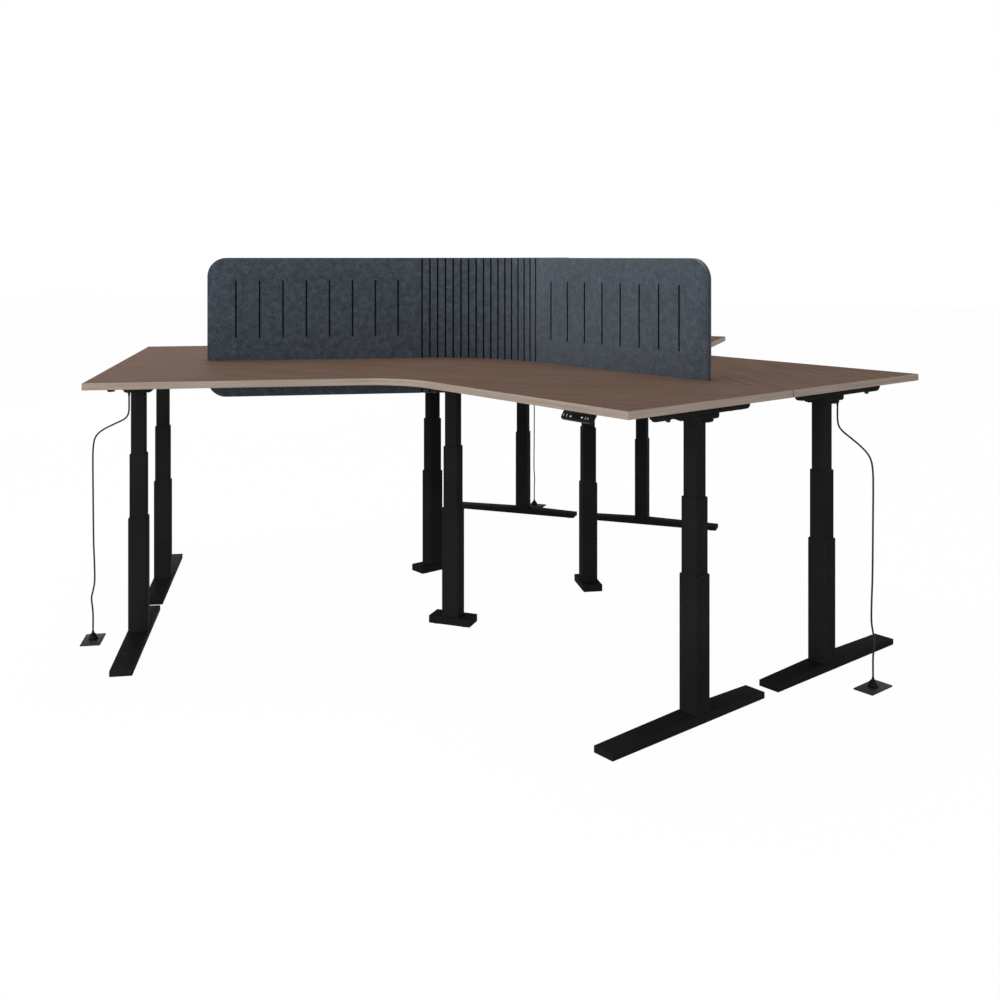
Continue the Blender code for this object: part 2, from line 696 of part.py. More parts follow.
def plug_profile():
    """The plug's outer side from the nozzle down over a bell to the rim that stands on the plate."""
    shoulder = PLUG_TOP - PLUG_NOZZLE_LENGTH
    rim = PLUG_BOTTOM + PLUG_RIM
    shares = [1 - i / PLUG_DOME_STEPS for i in range(PLUG_DOME_STEPS + 1)]
    spread = PLUG_RADIUS - PLUG_NOZZLE_RADIUS
    dome = [
        (PLUG_NOZZLE_RADIUS + spread * (1 - share**PLUG_SWELL), rim + (shoulder - rim) * share)
        for share in shares
    ]
    nozzle = [(0.0, PLUG_TOP), (PLUG_NOZZLE_RADIUS, PLUG_TOP)]
    base = [(PLUG_RADIUS, PLUG_BOTTOM), (0.0, PLUG_BOTTOM)]
    return [*nozzle, *dome, *base]


def plug_mesh():
    """A turned plug that stands on the floor plate, with a nozzle for the lead on top."""
    shape = bmesh.new()
    ring = [shape.verts.new((radius, 0.0, height)) for radius, height in plug_profile()]
    for start, end in zip(ring, ring[1:]):
        shape.edges.new((start, end))
    mesh = bpy.data.meshes.new("plug_profile")
    shape.to_mesh(mesh)
    shape.free()
    profile = scratch("plug_profile", mesh)
    turned = profile.modifiers.new("turned", "SCREW")
    turned.steps = PLUG_STEPS
    turned.render_steps = PLUG_STEPS
    turned.use_merge_vertices = True
    turned.merge_threshold = TURNED_MERGE
    return finished_mesh(profile, "plug", smooth=True)


def floor_plate_mesh():
    size = (PLATE_LENGTH, PLATE_WIDTH, PLATE_THICKNESS)
    plate = block("plate", size, (0.0, 0.0, PLATE_THICKNESS / 2), 0.0, (upright, PLATE_CORNER, ROUND_STEPS))
    return finished_mesh(plate, "floor_plate")


def empty(name, parent=None):
    made = bpy.data.objects.new(name, None)
    parts.objects.link(made)
    made.parent = parent
    return made


def place(name, data, finish, parent, location=(0.0, 0.0, 0.0), turn=0.0):
    """One named piece: its own object, which may share its data with the same piece of another desk."""
    piece = bpy.data.objects.new(name, data)
    parts.objects.link(piece)
    if not data.materials:
        data.materials.append(finish)
    piece.parent = parent
    piece.location = location
    piece.rotation_euler.z = turn


def legs():
    """Each leg's name, place, turn, foot mesh, foot place and foot turn in the desk's frame."""
    foot_setback = (FOOT_SEAM_GAP + FOOT_SETBACK_FAR) / 2
    for side, (angle, inward) in WINGS.items():
        column = on_wing(side, LEG_REACH, LEG_SETBACK)
        foot_turn = angle if inward > 0 else angle + math.pi
        yield side, column, angle, "long", on_wing(side, LEG_REACH, foot_setback), foot_turn
    corner = Vector((0.0, -CORNER_LEG_BACK, 0.0))
    yield "corner", corner, 0.0, "short", corner, math.pi / 2


def build_desks():
    long_foot = FOOT_SETBACK_FAR - FOOT_SEAM_GAP
    seat_middle = LEG_SETBACK - (FOOT_SETBACK_FAR + FOOT_SEAM_GAP) / 2
    feet = {
        "long": foot_mesh("long_foot", long_foot, FOOT_WIDTH, FOOT_END_TOP, seat_middle, FOOT_SEAT_TOP),
        "short": foot_mesh("short_foot", CORNER_FOOT_LENGTH, CORNER_FOOT_WIDTH, CORNER_FOOT_TOP),
    }
    lower = {"long": lower_tube_mesh(FOOT_SEAT_TOP), "short": lower_tube_mesh(CORNER_FOOT_TOP)}
    middle = middle_tube_mesh()
    plain_upper = upper_tube_mesh(has_gland=False)
    upper = {"left": upper_tube_mesh(has_gland=True), "right": plain_upper, "corner": plain_upper}
    worktop = worktop_mesh()
    screen = screen_mesh()
    steel_frame = steel_frame_mesh()
    handset = handset_mesh()
    control_box = control_box_mesh()
    plug = plug_mesh()
    plate = floor_plate_mesh()

    laminate = material("brown_oak_laminate", "6F5D53", 0.45)
    felt = material("grey_felt", "434A54", 0.95)
    steel = material("black_powder_coat", "1B1B1C", 0.55, 0.2)
    plastic = material("black_plastic", "161617", 0.4)
    grey_plastic = material("grey_plastic", "454545", 0.5)

    right_turn, _ = WINGS["right"]
    left_turn, _ = WINGS["left"]
    handset_turns = {"right": right_turn, "left": left_turn + math.pi}
    box_place = on_wing("right", CONTROL_BOX_REACH, CONTROL_BOX_SETBACK)

    for desk, turn in DESK_TURNS.items():
        hub = empty(desk)
        hub.location.y = HUB_Y
        hub.rotation_euler.z = turn
        stage = empty(f"{desk}_middle_stage", hub)
        lift = empty(f"{desk}_lift", hub)
        for leg, column, angle, kind, foot_place, foot_turn in legs():
            place(f"{desk}_{leg}_foot", feet[kind], steel, hub, foot_place, foot_turn)
            place(f"{desk}_{leg}_lower_tube", lower[kind], steel, hub, column, angle)
            place(f"{desk}_{leg}_middle_tube", middle, steel, stage, column, angle)
            place(f"{desk}_{leg}_upper_tube", upper[leg], steel, lift, column, angle)
        place(f"{desk}_worktop", worktop, laminate, lift)
        place(f"{desk}_screen", screen, felt, lift)
        place(f"{desk}_steel_frame", steel_frame, steel, lift)
        wing = HANDSET_WINGS[desk]
        handset_place = on_wing(wing, HANDSET_REACH, WING_DEPTH)
        place(f"{desk}_handset", handset, plastic, lift, handset_place, handset_turns[wing])
        place(f"{desk}_control_box", control_box, plastic, lift, box_place, right_turn)
        place(f"{desk}_power_cord", power_cord_curve(desk), plastic, lift)
        plug_place = on_wing("left", *plug_spot(desk))
        place(f"{desk}_plug", plug, plastic, hub, plug_place, left_turn)
        place(f"{desk}_floor_plate", plate, grey_plastic, hub, plug_place, left_turn)


remove_everything()
parts = new_collection("height_adjustable_desk_hub")
cutters = new_collection("cutters")
build_desks()
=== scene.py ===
"""The looks of a hub of three height-adjustable desks: its pieces and finishes, in metres, +Z up.

A piece is modelled once in a desk's own frame, where the hub is the origin and the user stands on the -Y
side, and is then copied to the three desks. A place on a wing is given by its reach from the hub along the
seam, its setback from the seam into the desk, and its height.
"""

import math

import bmesh
import bpy
from mathutils import Matrix, Vector


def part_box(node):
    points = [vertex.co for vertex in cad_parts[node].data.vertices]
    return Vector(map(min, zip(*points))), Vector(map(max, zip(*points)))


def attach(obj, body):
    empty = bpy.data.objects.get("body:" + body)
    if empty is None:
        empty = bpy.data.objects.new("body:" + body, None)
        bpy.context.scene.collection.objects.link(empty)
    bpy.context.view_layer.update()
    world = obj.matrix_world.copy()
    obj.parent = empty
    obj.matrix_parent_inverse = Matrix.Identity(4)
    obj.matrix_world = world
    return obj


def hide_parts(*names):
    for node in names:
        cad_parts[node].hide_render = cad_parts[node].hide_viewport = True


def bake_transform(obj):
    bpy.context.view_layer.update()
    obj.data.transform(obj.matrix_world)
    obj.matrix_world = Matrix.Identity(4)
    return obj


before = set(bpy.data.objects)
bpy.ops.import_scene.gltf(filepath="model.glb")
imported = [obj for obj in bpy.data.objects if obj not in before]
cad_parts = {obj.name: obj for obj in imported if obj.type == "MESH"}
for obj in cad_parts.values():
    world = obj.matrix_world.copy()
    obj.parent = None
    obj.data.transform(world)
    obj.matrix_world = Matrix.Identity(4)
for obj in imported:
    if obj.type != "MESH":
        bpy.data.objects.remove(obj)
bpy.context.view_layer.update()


def low_of(node):
    """The height of the lowest point of a node of the frame."""
    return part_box(node)[0].z


def high_of(node):
    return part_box(node)[1].z


def middle_at(node):
    low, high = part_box(node)
    return (low + high) / 2


# Desks and wings
DESKS = {"desk1": 0.0, "desk2": math.radians(120), "desk3": math.radians(-120)}
WINGS = {"left": (math.radians(210), 1), "right": (math.radians(-30), -1)}
HALF_CORNER = math.radians(60)
CORNER_SWEEP = math.pi - 2 * HALF_CORNER
HUB = sum((middle_at(f"{desk}_corner_lower_tube") for desk in DESKS), Vector()) / len(DESKS)
HUB.z = 0.0

# Axes, and tolerances: a distance, and the cosines of what counts as aligned and as flush
X, Y, Z = range(3)
NEAR = 0.001
ALIGNED = 0.9
FLUSH = 0.999

# Edges: the usual rounding, a sharp one's angle, and the largest angle that is shaded smooth
SOFT_EDGE = 0.001
SHARP_ANGLE = math.radians(40)
SMOOTH_ANGLE = math.radians(35)

# Worktop; within SEAM_SHADE_SIDE of the seam its edge band has the board's darker print, which is painted
# shade between the desks
TOP = high_of("desk1_worktop")
UNDERSIDE = low_of("desk1_worktop")
THICKNESS = TOP - UNDERSIDE
WING_LENGTH = 1.600
WING_DEPTH = 0.800
FRONT_FILLET = 0.280
SEAM_HALF = 0.002
BAND = 0.002
BAND_ROUND = 0.0012
SEAM_SHADE_SIDE = 0.120
ARC_STEPS = 48

# Screen; it hangs a little lower than its solid, because its lower edge shows under the front wing
SCREEN_DROP = 0.0065
SCREEN_LOW = low_of("desk1_screen") - SCREEN_DROP
SCREEN_HIGH = high_of("desk1_screen")
SCREEN_THICKNESS = 0.012
SCREEN_FRONT = SEAM_HALF + SCREEN_THICKNESS
SCREEN_REACH = 1.240
SCREEN_CORNER = 0.080
SCREEN_BEND = 0.530
SCREEN_ROUND = 0.0015
GROOVES = 17
GROOVE_WIDTH = 0.007
GROOVE_DEPTH = 0.008
LAND_SHARES = (0.35, 0.65)
CUT_LEAST = 0.0003
SLOTS = 8
SLOT_FIRST_REACH = {"left": 0.420, "right": 0.411}
SLOT_PITCH = 0.100
SLOT_WIDTH = 0.007
SLOT_DEPTH = 0.006
SLOT_END_ROUND = 0.49 * SLOT_WIDTH
SLOT_LOW = TOP + 0.097
SLOT_HIGH = TOP + 0.345

# Columns, about their own axes
LOWER_SECTION = (0.0735, 0.070)
MIDDLE_SECTION = (0.0645, 0.061)
UPPER_SECTION = (0.0555, 0.052)
TUBE_WALL = 0.002
TUBE_CORNER = 0.006
LOWER_TOP = high_of("desk1_left_lower_tube")
MIDDLE_LOW = low_of("desk1_left_middle_tube")
MIDDLE_TOP = high_of("desk1_left_middle_tube")
UPPER_LOW = low_of("desk1_left_upper_tube")
HEAD_TOP = high_of("desk1_left_upper_tube")
BUSH_HEIGHT = 0.002
BUSH_INSET = 0.0006
BUSH_ROUND = 0.0006
RUNNING_GAP = 0.0003

# Drive heads
HEAD_COLLAR = (0.106, 0.074, 0.0095)
HEAD_CASE = (0.110, 0.126, 0.029)
HEAD_CORNER = 0.008
HEAD_ROUND = 0.009
COLLAR_ROUND = 0.007
HEAD_SCREW_INSET = HEAD_ROUND + 0.0045
MOTOR = (0.165, 0.060, 0.022)
MOTOR_CORNER = 0.010
MOTOR_ROUND = 0.009
MOTOR_LOW = HEAD_TOP - MOTOR[2] - 0.002
CASE_BOTTOM = HEAD_TOP - HEAD_CASE[2]
HEAD_BOTTOM = CASE_BOTTOM - HEAD_COLLAR[2]

# Cord gland: its flange, and the ribs below, which get smaller towards the lead
GLAND_PLACE = (0.0285, 0.057)
GLAND_TOP = CASE_BOTTOM + 0.006
GLAND_FLANGE = CASE_BOTTOM - 0.003
GLAND_BOTTOM = CASE_BOTTOM - 0.022
GLAND_RADIUS = 0.0068
GLAND_RIB_RADII = (0.0056, 0.00515, 0.0047, 0.00425, 0.0038)
GLAND_RIB_SHARE = 0.6
GLAND_GROOVE = 0.0006

# Heads of screws and bolts: the radius and the depth below the face along their side, and their steps
SCREW_SIDE = (
    (0.0, 0.0008), (0.0016, 0.0008), (0.0016, 0.0024), (0.0032, 0.0022),
    (0.0043, 0.0012), (0.0043, 0.0), (0.0, 0.0),
)
SCREW = (SCREW_SIDE, 10)
BOLT_SIDE = ((0.0, 0.0064), (0.0064, 0.0064), (0.0075, 0.0056), (0.0075, 0.0), (0.0, 0.0))
BOLT = (BOLT_SIDE, 6)

# Legs and feet
LEG_REACH = 1.4715
LEG_SETBACK = 0.355
CORNER_LEG_BACK = HUB.y - middle_at("desk1_corner_lower_tube").y
LONG_FOOT = (0.080, 0.7365)
LONG_FOOT_SETBACK = 0.40575
LONG_FOOT_END_TOP = 0.0235
SEAT_HALF = 0.038
SHORT_FOOT = (0.086, 0.180)
FOOT_ROUND = 0.0015
GLIDE_HEIGHT = 0.0015
GLIDE_INSET = (0.020, 0.030)
# The radius and the height along a glide's side; its top is sunk in the foot
GLIDE_SIDE = ((0.0, 0.0), (0.0175, 0.0), (0.018, 0.0005), (0.018, 0.002), (0.0, 0.002))

# Steel frame under the worktop
FRAME_TOP = UNDERSIDE - RUNNING_GAP
RAIL_TOP = FRAME_TOP - 0.001
RAIL_HEIGHT = 0.020
RAIL_WIDTH = 0.030
RAIL_ROUND = 0.002
RAIL_SETBACKS = (0.305, 0.405)
BRACKET_WIDTH = 0.019
BRACKET_HEIGHT = 0.027
BRACKET_LOW = FRAME_TOP - BRACKET_HEIGHT
BRACKET_REACH = 1.5375
BRACKET_SPANS = {"left": (0.108, 0.621), "right": (0.162, 0.636)}
BRACKET_ROUND = 0.018
BRACKET_EDGE = 0.0015
BRACKET_SCREWS_FROM_END = (0.040, 0.090)
# The pad under a bracket's front end, and how far its bolt is from that end
PAD = (0.017, 0.074, 0.003)
PAD_LOW = BRACKET_LOW - PAD[2] + 0.0005
PAD_CORNER = 0.004
PAD_FROM_END = 0.012
BOLT_FROM_END = 0.078
CORNER_PLATE = (0.170, 0.190, 0.006)
CORNER_PLATE_LOW = FRAME_TOP - CORNER_PLATE[2]
CORNER_PLATE_CORNER = 0.012
CORNER_SCREW_INSET = 0.015
ARM_REACHES = (0.500, 1.000)
ARM_WIDTH = 0.040
ARM_THICKNESS = 0.005
ARM_LOW = RAIL_TOP - ARM_THICKNESS - 0.002
ARM_PLATE = (0.050, 0.005, 0.090)
ARM_PLATE_CORNER = 0.006
ARM_PLATE_EDGE = 0.0008

# Handset
HANDSET_WINGS = {"desk1": "right", "desk2": "left", "desk3": "right"}
HANDSET_REACH = 1.387
HANDSET_LENGTH = 0.1245
# The case from its end: how far each corner is proud of the board's edge, and how far below its underside
HANDSET_PROFILE = (
    (-0.0240, 0.0000), (-0.0240, 0.0080), (-0.0070, 0.0280), (-0.0010, 0.0307),
    (0.0095, 0.0255), (0.0125, 0.0195), (0.0000, 0.0000),
)
HANDSET_ROUND = 0.003
HANDSET_ROUND_BELOW = -0.018
TONGUE = (0.090, 0.044, 0.005)
TONGUE_SUNK = 0.002
TONGUE_CORNER = 0.008
TONGUE_EDGE = 0.0008
KEY_PANEL = (HANDSET_LENGTH - 0.008, 0.0012, 0.019)
KEY_PANEL_CORNER = 0.004
KEY_PANEL_EDGE = 0.0003
# The prints and their places along the panel; the dark display is between the two arrows
KEYS = (("1", -0.0510), ("2", -0.0370), ("up", -0.0195), ("down", 0.0290), ("3", 0.0440), ("4", 0.0545))
KEY_PROUD = 0.0007
KEY_DROP = 0.0040
INK_HALF = 0.00005
DIGIT_SIZE = 0.0105
ARROW_HALF = 0.0048
ARROW_RISE = 0.0034
ARROW_STROKE = 0.0026

# Control box
BOX = (0.260, 0.100, 0.040)
BOX_REACH = 0.750
BOX_SETBACK = 0.180
BOX_LOW = FRAME_TOP - BOX[2]
BOX_CORNER = 0.006
BOX_ROUND = 0.004
RIBS = 9
RIB = (0.006, 0.070, 0.003)
RIB_PITCH = 0.020
RIB_LOW = BOX_LOW - 0.0023

# Mains lead, plug and floor plate
CORD_DIAMETER = 0.0065
CORD_SAMPLES = 6
# Below the gland: the share of the way to the plug that the lead has made, and how far it has come down
CORD_FALL = (
    (0.000, 0.000), (0.000, 0.027), (0.004, 0.052), (0.042, 0.0735),
    (0.155, 0.0895), (0.400, 0.107), (0.665, 0.1265), (0.850, 0.1455),
    (0.952, 0.168), (0.995, 0.203), (1.005, 0.255), (1.000, 0.355),
)
# Above the plug: how far the lead is off the plug's axis along the wing, and how high it is
CORD_RISE = (
    (-0.0020, 0.3624), (-0.0055, 0.2574), (-0.0060, 0.1944), (-0.0005, 0.1584),
    (0.0055, 0.1294), (0.0025, 0.0954), (0.0000, 0.0654), (0.0000, 0.0000),
)
PLUG_SPOTS = {"desk1": (1.643, 0.366), "desk2": (1.693, 0.332), "desk3": (1.665, 0.350)}
PLUG_LOW = low_of("desk1_plug")
PLUG_HIGH = high_of("desk1_plug")
PLUG_RADIUS = 0.018
PLUG_NECK = 0.0045
PLUG_EDGE = 0.001
PLUG_SHOULDER = PLUG_HIGH - 0.006
PLUG_RIM = PLUG_LOW + 0.006
PLUG_SWELL = 1.6
PLUG_STEPS = 10
PLATE = (0.075, 0.130, 0.004)
PLATE_CORNER = 0.004

# Camera: its place and turn were solved from the photo's straight edges
CAMERA_FROM_HUB = Vector((1.7266, -4.5867, 1.5053))
CAMERA_TURN = math.radians(20.6836)
CAMERA_SENSOR = 36.0
CAMERA_LENS = 39.252
CAMERA_SHIFT = (0.00965, -0.24388)

# Floor, sky and lamps; a lamp has its place and its power in watts
FLOOR_SIZE = 60.0
FLOOR_DROP = 0.0005
FLOOR_GLOW = 1.02
FLOOR_GLOW_SHARE = 0.96
SKY_LIGHT = 0.25
LAMP_SIZE = 4.0
LAMP_TARGET = Vector((0.0, -0.3, 0.8))
LAMPS = {
    "left_lamp": ((-3.5, -6.5, 1.8), 270),
    "right_lamp": ((4.5, -5.5, 1.8), 150),
    "top_lamp": ((-0.8, -0.2, 6.0), 175),
    "rear_left_lamp": ((-5.5, 5.0, 1.8), 95),
    "rear_right_lamp": ((5.0, 5.5, 1.8), 115),
}


def wing_axes(side):
    """The directions of reach and of setback on a wing."""
    angle, inward = WINGS[side]
    along = Vector((math.cos(angle), math.sin(angle), 0.0))
    across = Vector((-math.sin(angle), math.cos(angle), 0.0)) * inward
    return along, across


def on_wing(side, reach, setback, height=0.0):
    """The place on a wing of a desk in its own frame."""
    along, across = wing_axes(side)
    return along * reach + across * setback + Vector((0.0, 0.0, height))


def corner_y(setback):
    """Where the wings' lines at this setback meet on the Y axis."""
    return -setback / math.sin(HALF_CORNER)


def about_corner(setback, turns):
    """Points about the place where the lines at this setback meet; a turn is an angle and a radius."""
    middle = corner_y(setback)
    return [(radius * math.cos(angle), middle + radius * math.sin(angle)) for angle, radius in turns]


def corner_arc(setback, radius):
    """Points of the arc that joins the right wing's line at this setback to the left wing's."""
    turns = [(HALF_CORNER + CORNER_SWEEP * i / ARC_STEPS, radius) for i in range(ARC_STEPS + 1)]
    return about_corner(setback + radius, turns)


def four_corners(x, y):
    return [(sx * x, sy * y) for sx in (-1, 1) for sy in (-1, 1)]


def both_wings(spots, corner):
    """A line along these spots of the right wing, the corner's points and the left wing's spots."""
    right = [on_wing("right", *spot).xy for spot in spots]
    left = [on_wing("left", *spot).xy for spot in reversed(spots)]
    return [*right, *corner, *left]


def placed(place, angle):
    """The matrix of a turn about the upright axis and a move from the origin to a place."""
    return Matrix.Translation(place) @ Matrix.Rotation(angle, 4, "Z")


def wing_frame(side, reach, setback):
    """The place on a wing with its X axis along the wing."""
    return placed(on_wing(side, reach, setback), WINGS[side][0])


# Modelling steps


def new_object(name, data):
    made = bpy.data.objects.new(name, data)
    bpy.context.scene.collection.objects.link(made)
    return made


def at_rest():
    """Leaves edit mode and selects nothing, because an operator acts on all that is selected."""
    if bpy.context.mode != "OBJECT":
        bpy.ops.object.mode_set(mode="OBJECT")
    bpy.ops.object.select_all(action="DESELECT")


def take(piece):
    at_rest()
    piece.select_set(True)
    bpy.context.view_layer.objects.active = piece


def block(size, low, x=0.0, y=0.0):
    """A box about an upright axis, standing at this height: the start of a piece."""
    at_rest()
    bpy.ops.mesh.primitive_cube_add(size=1.0, location=(x, y, low + size[2] / 2))
    piece = bpy.context.object
    piece.scale = size
    bpy.ops.object.transform_apply()
    return piece


def pick(piece, kind, test):
    """Selects the edges or faces that pass the test, in edit mode."""
    take(piece)
    bpy.ops.object.mode_set(mode="EDIT")
    bpy.ops.mesh.select_mode(type=kind)
    bpy.ops.mesh.select_all(action="DESELECT")
    shape = bmesh.from_edit_mesh(piece.data)
    for item in shape.edges if kind == "EDGE" else shape.faces:
        if test(item):
            item.select_set(True)
    bmesh.update_edit_mesh(piece.data)


def round_edges(piece, test, radius, steps=2):
    pick(piece, "EDGE", test)
    bpy.ops.mesh.bevel(offset=radius, segments=steps)
    at_rest()


def push(value):
    """Extrudes what is selected by this much."""
    bpy.ops.mesh.extrude_region_move(TRANSFORM_OT_translate={"value": value})


def select_all():
    bpy.ops.mesh.select_all(action="SELECT")


def face_out():
    select_all()
    bpy.ops.mesh.normals_make_consistent()


def every(item):
    return True


def middle_of(edge):
    return (edge.verts[0].co + edge.verts[1].co) / 2


def run_of(edge):
    return (edge.verts[1].co - edge.verts[0].co).normalized()


def runs_along(axis):
    """A test for edges that run along this axis."""
    return lambda edge: abs(run_of(edge)[axis]) > ALIGNED


upright = runs_along(Z)


def sharp(edge):
    """An edge between two faces that meet at a sharp angle."""
    return len(edge.link_faces) == 2 and edge.calc_face_angle() > SHARP_ANGLE


def sharp_below(height):
    """A test for sharp edges below this height."""
    return lambda edge: sharp(edge) and middle_of(edge).z < height


def sharp_above(height):
    return lambda edge: sharp(edge) and middle_of(edge).z > height


def drawn(points):
    """A line drawn from corner to corner in edit mode, with all of it selected."""
    at_rest()
    bpy.ops.mesh.primitive_plane_add(size=0.001, location=points[0])
    piece = bpy.context.object
    bpy.ops.object.transform_apply()
    bpy.ops.object.mode_set(mode="EDIT")
    bpy.ops.mesh.select_mode(type="VERT")
    select_all()
    bpy.ops.mesh.merge(type="CENTER")
    for before, after in zip(points, points[1:]):
        push(tuple(b - a for a, b in zip(before, after)))
    select_all()
    return piece


def outline_face(points, height):
    """A level face of this outline, in edit mode."""
    piece = drawn([(*point, height) for point in points])
    bpy.ops.mesh.edge_face_add()
    return piece


def slab(points, low, high):
    """A plate of this outline between two heights."""
    piece = outline_face(points, high)
    push((0.0, 0.0, low - high))
    face_out()
    at_rest()
    return piece


def turned(profile, steps, axis=(0.0, 0.0)):
    """A shape turned about an upright axis; the profile gives radius and height."""
    x, y = axis
    piece = drawn([(x + radius, y, height) for radius, height in profile])
    bpy.ops.mesh.spin(steps=steps, angle=2 * math.pi, center=(x, y, 0.0), axis=(0.0, 0.0, 1.0))
    select_all()
    bpy.ops.mesh.remove_doubles(threshold=1e-6)
    face_out()
    at_rest()
    return piece


def joined(pieces):
    """Several shapes as one piece."""
    take(pieces[0])
    for piece in pieces:
        piece.select_set(True)
    bpy.ops.object.join()
    return pieces[0]


def two_finishes(piece, finishes, test):
    """Gives a piece the first finish, and the faces that pass the test the second one."""
    for finish in finishes:
        piece.data.materials.append(finish)
    pick(piece, "FACE", test)
    piece.active_material_index = 1
    bpy.ops.object.material_slot_assign()


def finish_model(model, finish):
    """Shades a model and gives it its finish, unless it has its own."""
    take(model)
    bpy.ops.object.shade_smooth_by_angle(angle=SMOOTH_ANGLE)
    if finish:
        model.data.materials.append(finish)


# Copies on the desks


def desk_frame(desk):
    return placed(HUB, DESKS[desk])


def leg_frames():
    """Each leg's name and the place of its column in a desk's frame."""
    for side in WINGS:
        yield side, wing_frame(side, LEG_REACH, LEG_SETBACK)
    yield "corner", Matrix.Translation((0.0, -CORNER_LEG_BACK, 0.0))


def copy_to(desk, model, name, place, body, node):
    """A copy with its own mesh, riding on one of a desk's bodies, in place of a node where one is named."""
    piece = new_object(f"{desk}_{name}", model.data.copy())
    piece.data.transform(desk_frame(desk) @ place)
    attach(piece, "base" if body == "base" else f"{desk}_{body}")
    if node:
        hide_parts(f"{desk}_{node}")
    return piece


def on_desks(model, finish, name, body, node=None, places=None):
    """The model on each desk. places gives each desk's own place of it in the desk's frame."""
    finish_model(model, finish)
    places = places or {desk: Matrix() for desk in DESKS}
    copies = {desk: copy_to(desk, model, name, places[desk], body, node) for desk in DESKS}
    bpy.data.objects.remove(model)
    return copies


def on_legs(model, finish, name, body, node=None, legs=("left", "right", "corner")):
    """The model on each of these legs of each desk."""
    finish_model(model, finish)
    for desk in DESKS:
        for leg, place in leg_frames():
            if leg in legs:
                copy_to(desk, model, f"{leg}_{name}", place, body, node and f"{leg}_{node}")
    bpy.data.objects.remove(model)


# Finishes


def srgb(hex_colour):
    """The linear colour of an sRGB hex value."""
    channels = [int(hex_colour[i : i + 2], 16) / 255 for i in (0, 2, 4)]
    linear = [c / 12.92 if c <= 0.04045 else ((c + 0.055) / 1.055) ** 2.4 for c in channels]
    return (*linear, 1.0)


def add(owner, kind, inputs=None, stops=None, **settings):
    """Adds a node to a material or a world, with its settings and links.

    An input is a value, another node's output, or a node, whose first output is meant. The stops of a colour
    ramp are a hex colour for each position.
    """
    tree = owner.node_tree
    node = tree.nodes.new(f"ShaderNode{kind}")
    for key, value in settings.items():
        setattr(node, key, value)
    for key, value in (inputs or {}).items():
        if isinstance(value, bpy.types.Node):
            value = value.outputs[0]
        if isinstance(value, bpy.types.NodeSocket):
            tree.links.new(value, node.inputs[key])
        else:
            node.inputs[key].default_value = value
    if stops:
        points = node.color_ramp.elements
        while len(points) < len(stops):
            points.new(1.0)
        for point, (position, hex_colour) in zip(points, stops.items()):
            point.position = position
            point.color = srgb(hex_colour)
    return node


def without_nodes(owner):
    owner.use_nodes = True
    owner.node_tree.nodes.clear()
    return owner


def new_finish(name):
    return without_nodes(bpy.data.materials.new(name))


def pattern(owner, size_mm, detail=2.0, distortion=0.0, vector=None):
    """Uneven patches of this size in mm, or one for each axis, in the piece's own coordinates."""
    sizes = size_mm if isinstance(size_mm, tuple) else (size_mm,) * 3
    vector = vector or add(owner, "TexCoord").outputs["Object"]
    at = add(owner, "Mapping", {"Vector": vector, "Scale": tuple(1000 / size for size in sizes)})
    inputs = {"Vector": at, "Scale": 1.0, "Detail": detail, "Distortion": distortion}
    return add(owner, "TexNoise", inputs)


def shade(owner, colour, rough, specular, bumps=None, more=None):
    """The principled shader and the output; bumps are a height, its strength and its distance."""
    inputs = {"Base Color": colour, "Roughness": rough, "Specular IOR Level": specular, **(more or {})}
    if bumps:
        relief = dict(zip(("Height", "Strength", "Distance"), bumps))
        inputs["Normal"] = add(owner, "Bump", relief)
    add(owner, "OutputMaterial", {"Surface": add(owner, "BsdfPrincipled", inputs)})
    return owner


def brown_oak_laminate():
    """Melamine board printed with brown oak and pressed matt: long soft streaks, fine darker fibres.

    Real fibres are under a millimetre wide; they are drawn 5 mm wide so that they show at this distance.
    """
    made = new_finish("brown_oak_laminate")
    grain = add(made, "UVMap", uv_map="grain")
    streaks = pattern(made, (1000, 26, 100), 3.0, 0.3, grain)
    fibres = pattern(made, (260, 5, 100), 3.0, vector=grain)
    mixed = add(made, "Mix", {"Factor": 0.6, "A": streaks, "B": fibres})
    colour = add(made, "ValToRGB", {"Fac": mixed}, stops={0.34: "5B493F", 0.50: "6A564B", 0.66: "7A6457"})
    rough = add(made, "MapRange", {"Value": fibres, "To Min": 0.58, "To Max": 0.72})
    return shade(made, colour, rough, 0.005, (fibres, 0.06, 0.0005))


def oak_edge_band_and_painted_light():
    """Glued ABS edge band with its grain along the edge, paler than the board: partly a paler print, partly
    painted front light on the edges.
    """
    made = new_finish("oak_edge_band_and_painted_light")
    streaks = pattern(made, (300, 300, 3), 3.0)
    # The pale stops hold the band's own tone together with painted front light on the edges.
    colour = add(made, "ValToRGB", {"Fac": streaks}, stops={0.30: "928277", 0.50: "9F9085", 0.70: "AC9D92"})
    return shade(made, colour, 0.6, 0.02, (streaks, 0.05, 0.0004))


def grey_felt():
    """Pressed polyester felt, a blue-grey mix of fibres: cloudy patches, pale flecks and a soft nap.

    Real flecks are a millimetre or two wide; they are drawn 5 mm wide so that they show at this distance.
    """
    made = new_finish("grey_felt")
    clouds = pattern(made, 24, 4.0, 0.3)
    fibres = pattern(made, 4, 3.0, 0.6)
    flecks = pattern(made, 5, 1.0)
    both = add(made, "Math", {0: clouds, 1: fibres}, operation="ADD")
    mean = add(made, "Math", {0: both, 1: 0.5}, operation="MULTIPLY")
    ground = add(made, "ValToRGB", {"Fac": mean}, stops={0.36: "272D34", 0.50: "343B43", 0.64: "444C56"})
    pale = add(made, "MapRange", {"Value": flecks, "From Min": 0.66, "From Max": 0.84})
    inputs = {0: pale, 6: ground, 7: srgb("7A8290")}
    colour = add(made, "Mix", inputs, data_type="RGBA").outputs[2]
    nap = {"Sheen Weight": 0.64, "Sheen Roughness": 0.55, "Sheen Tint": srgb("E6F0FF")}
    return shade(made, colour, 0.95, 0.15, (fibres, 0.35, 0.001), nap)


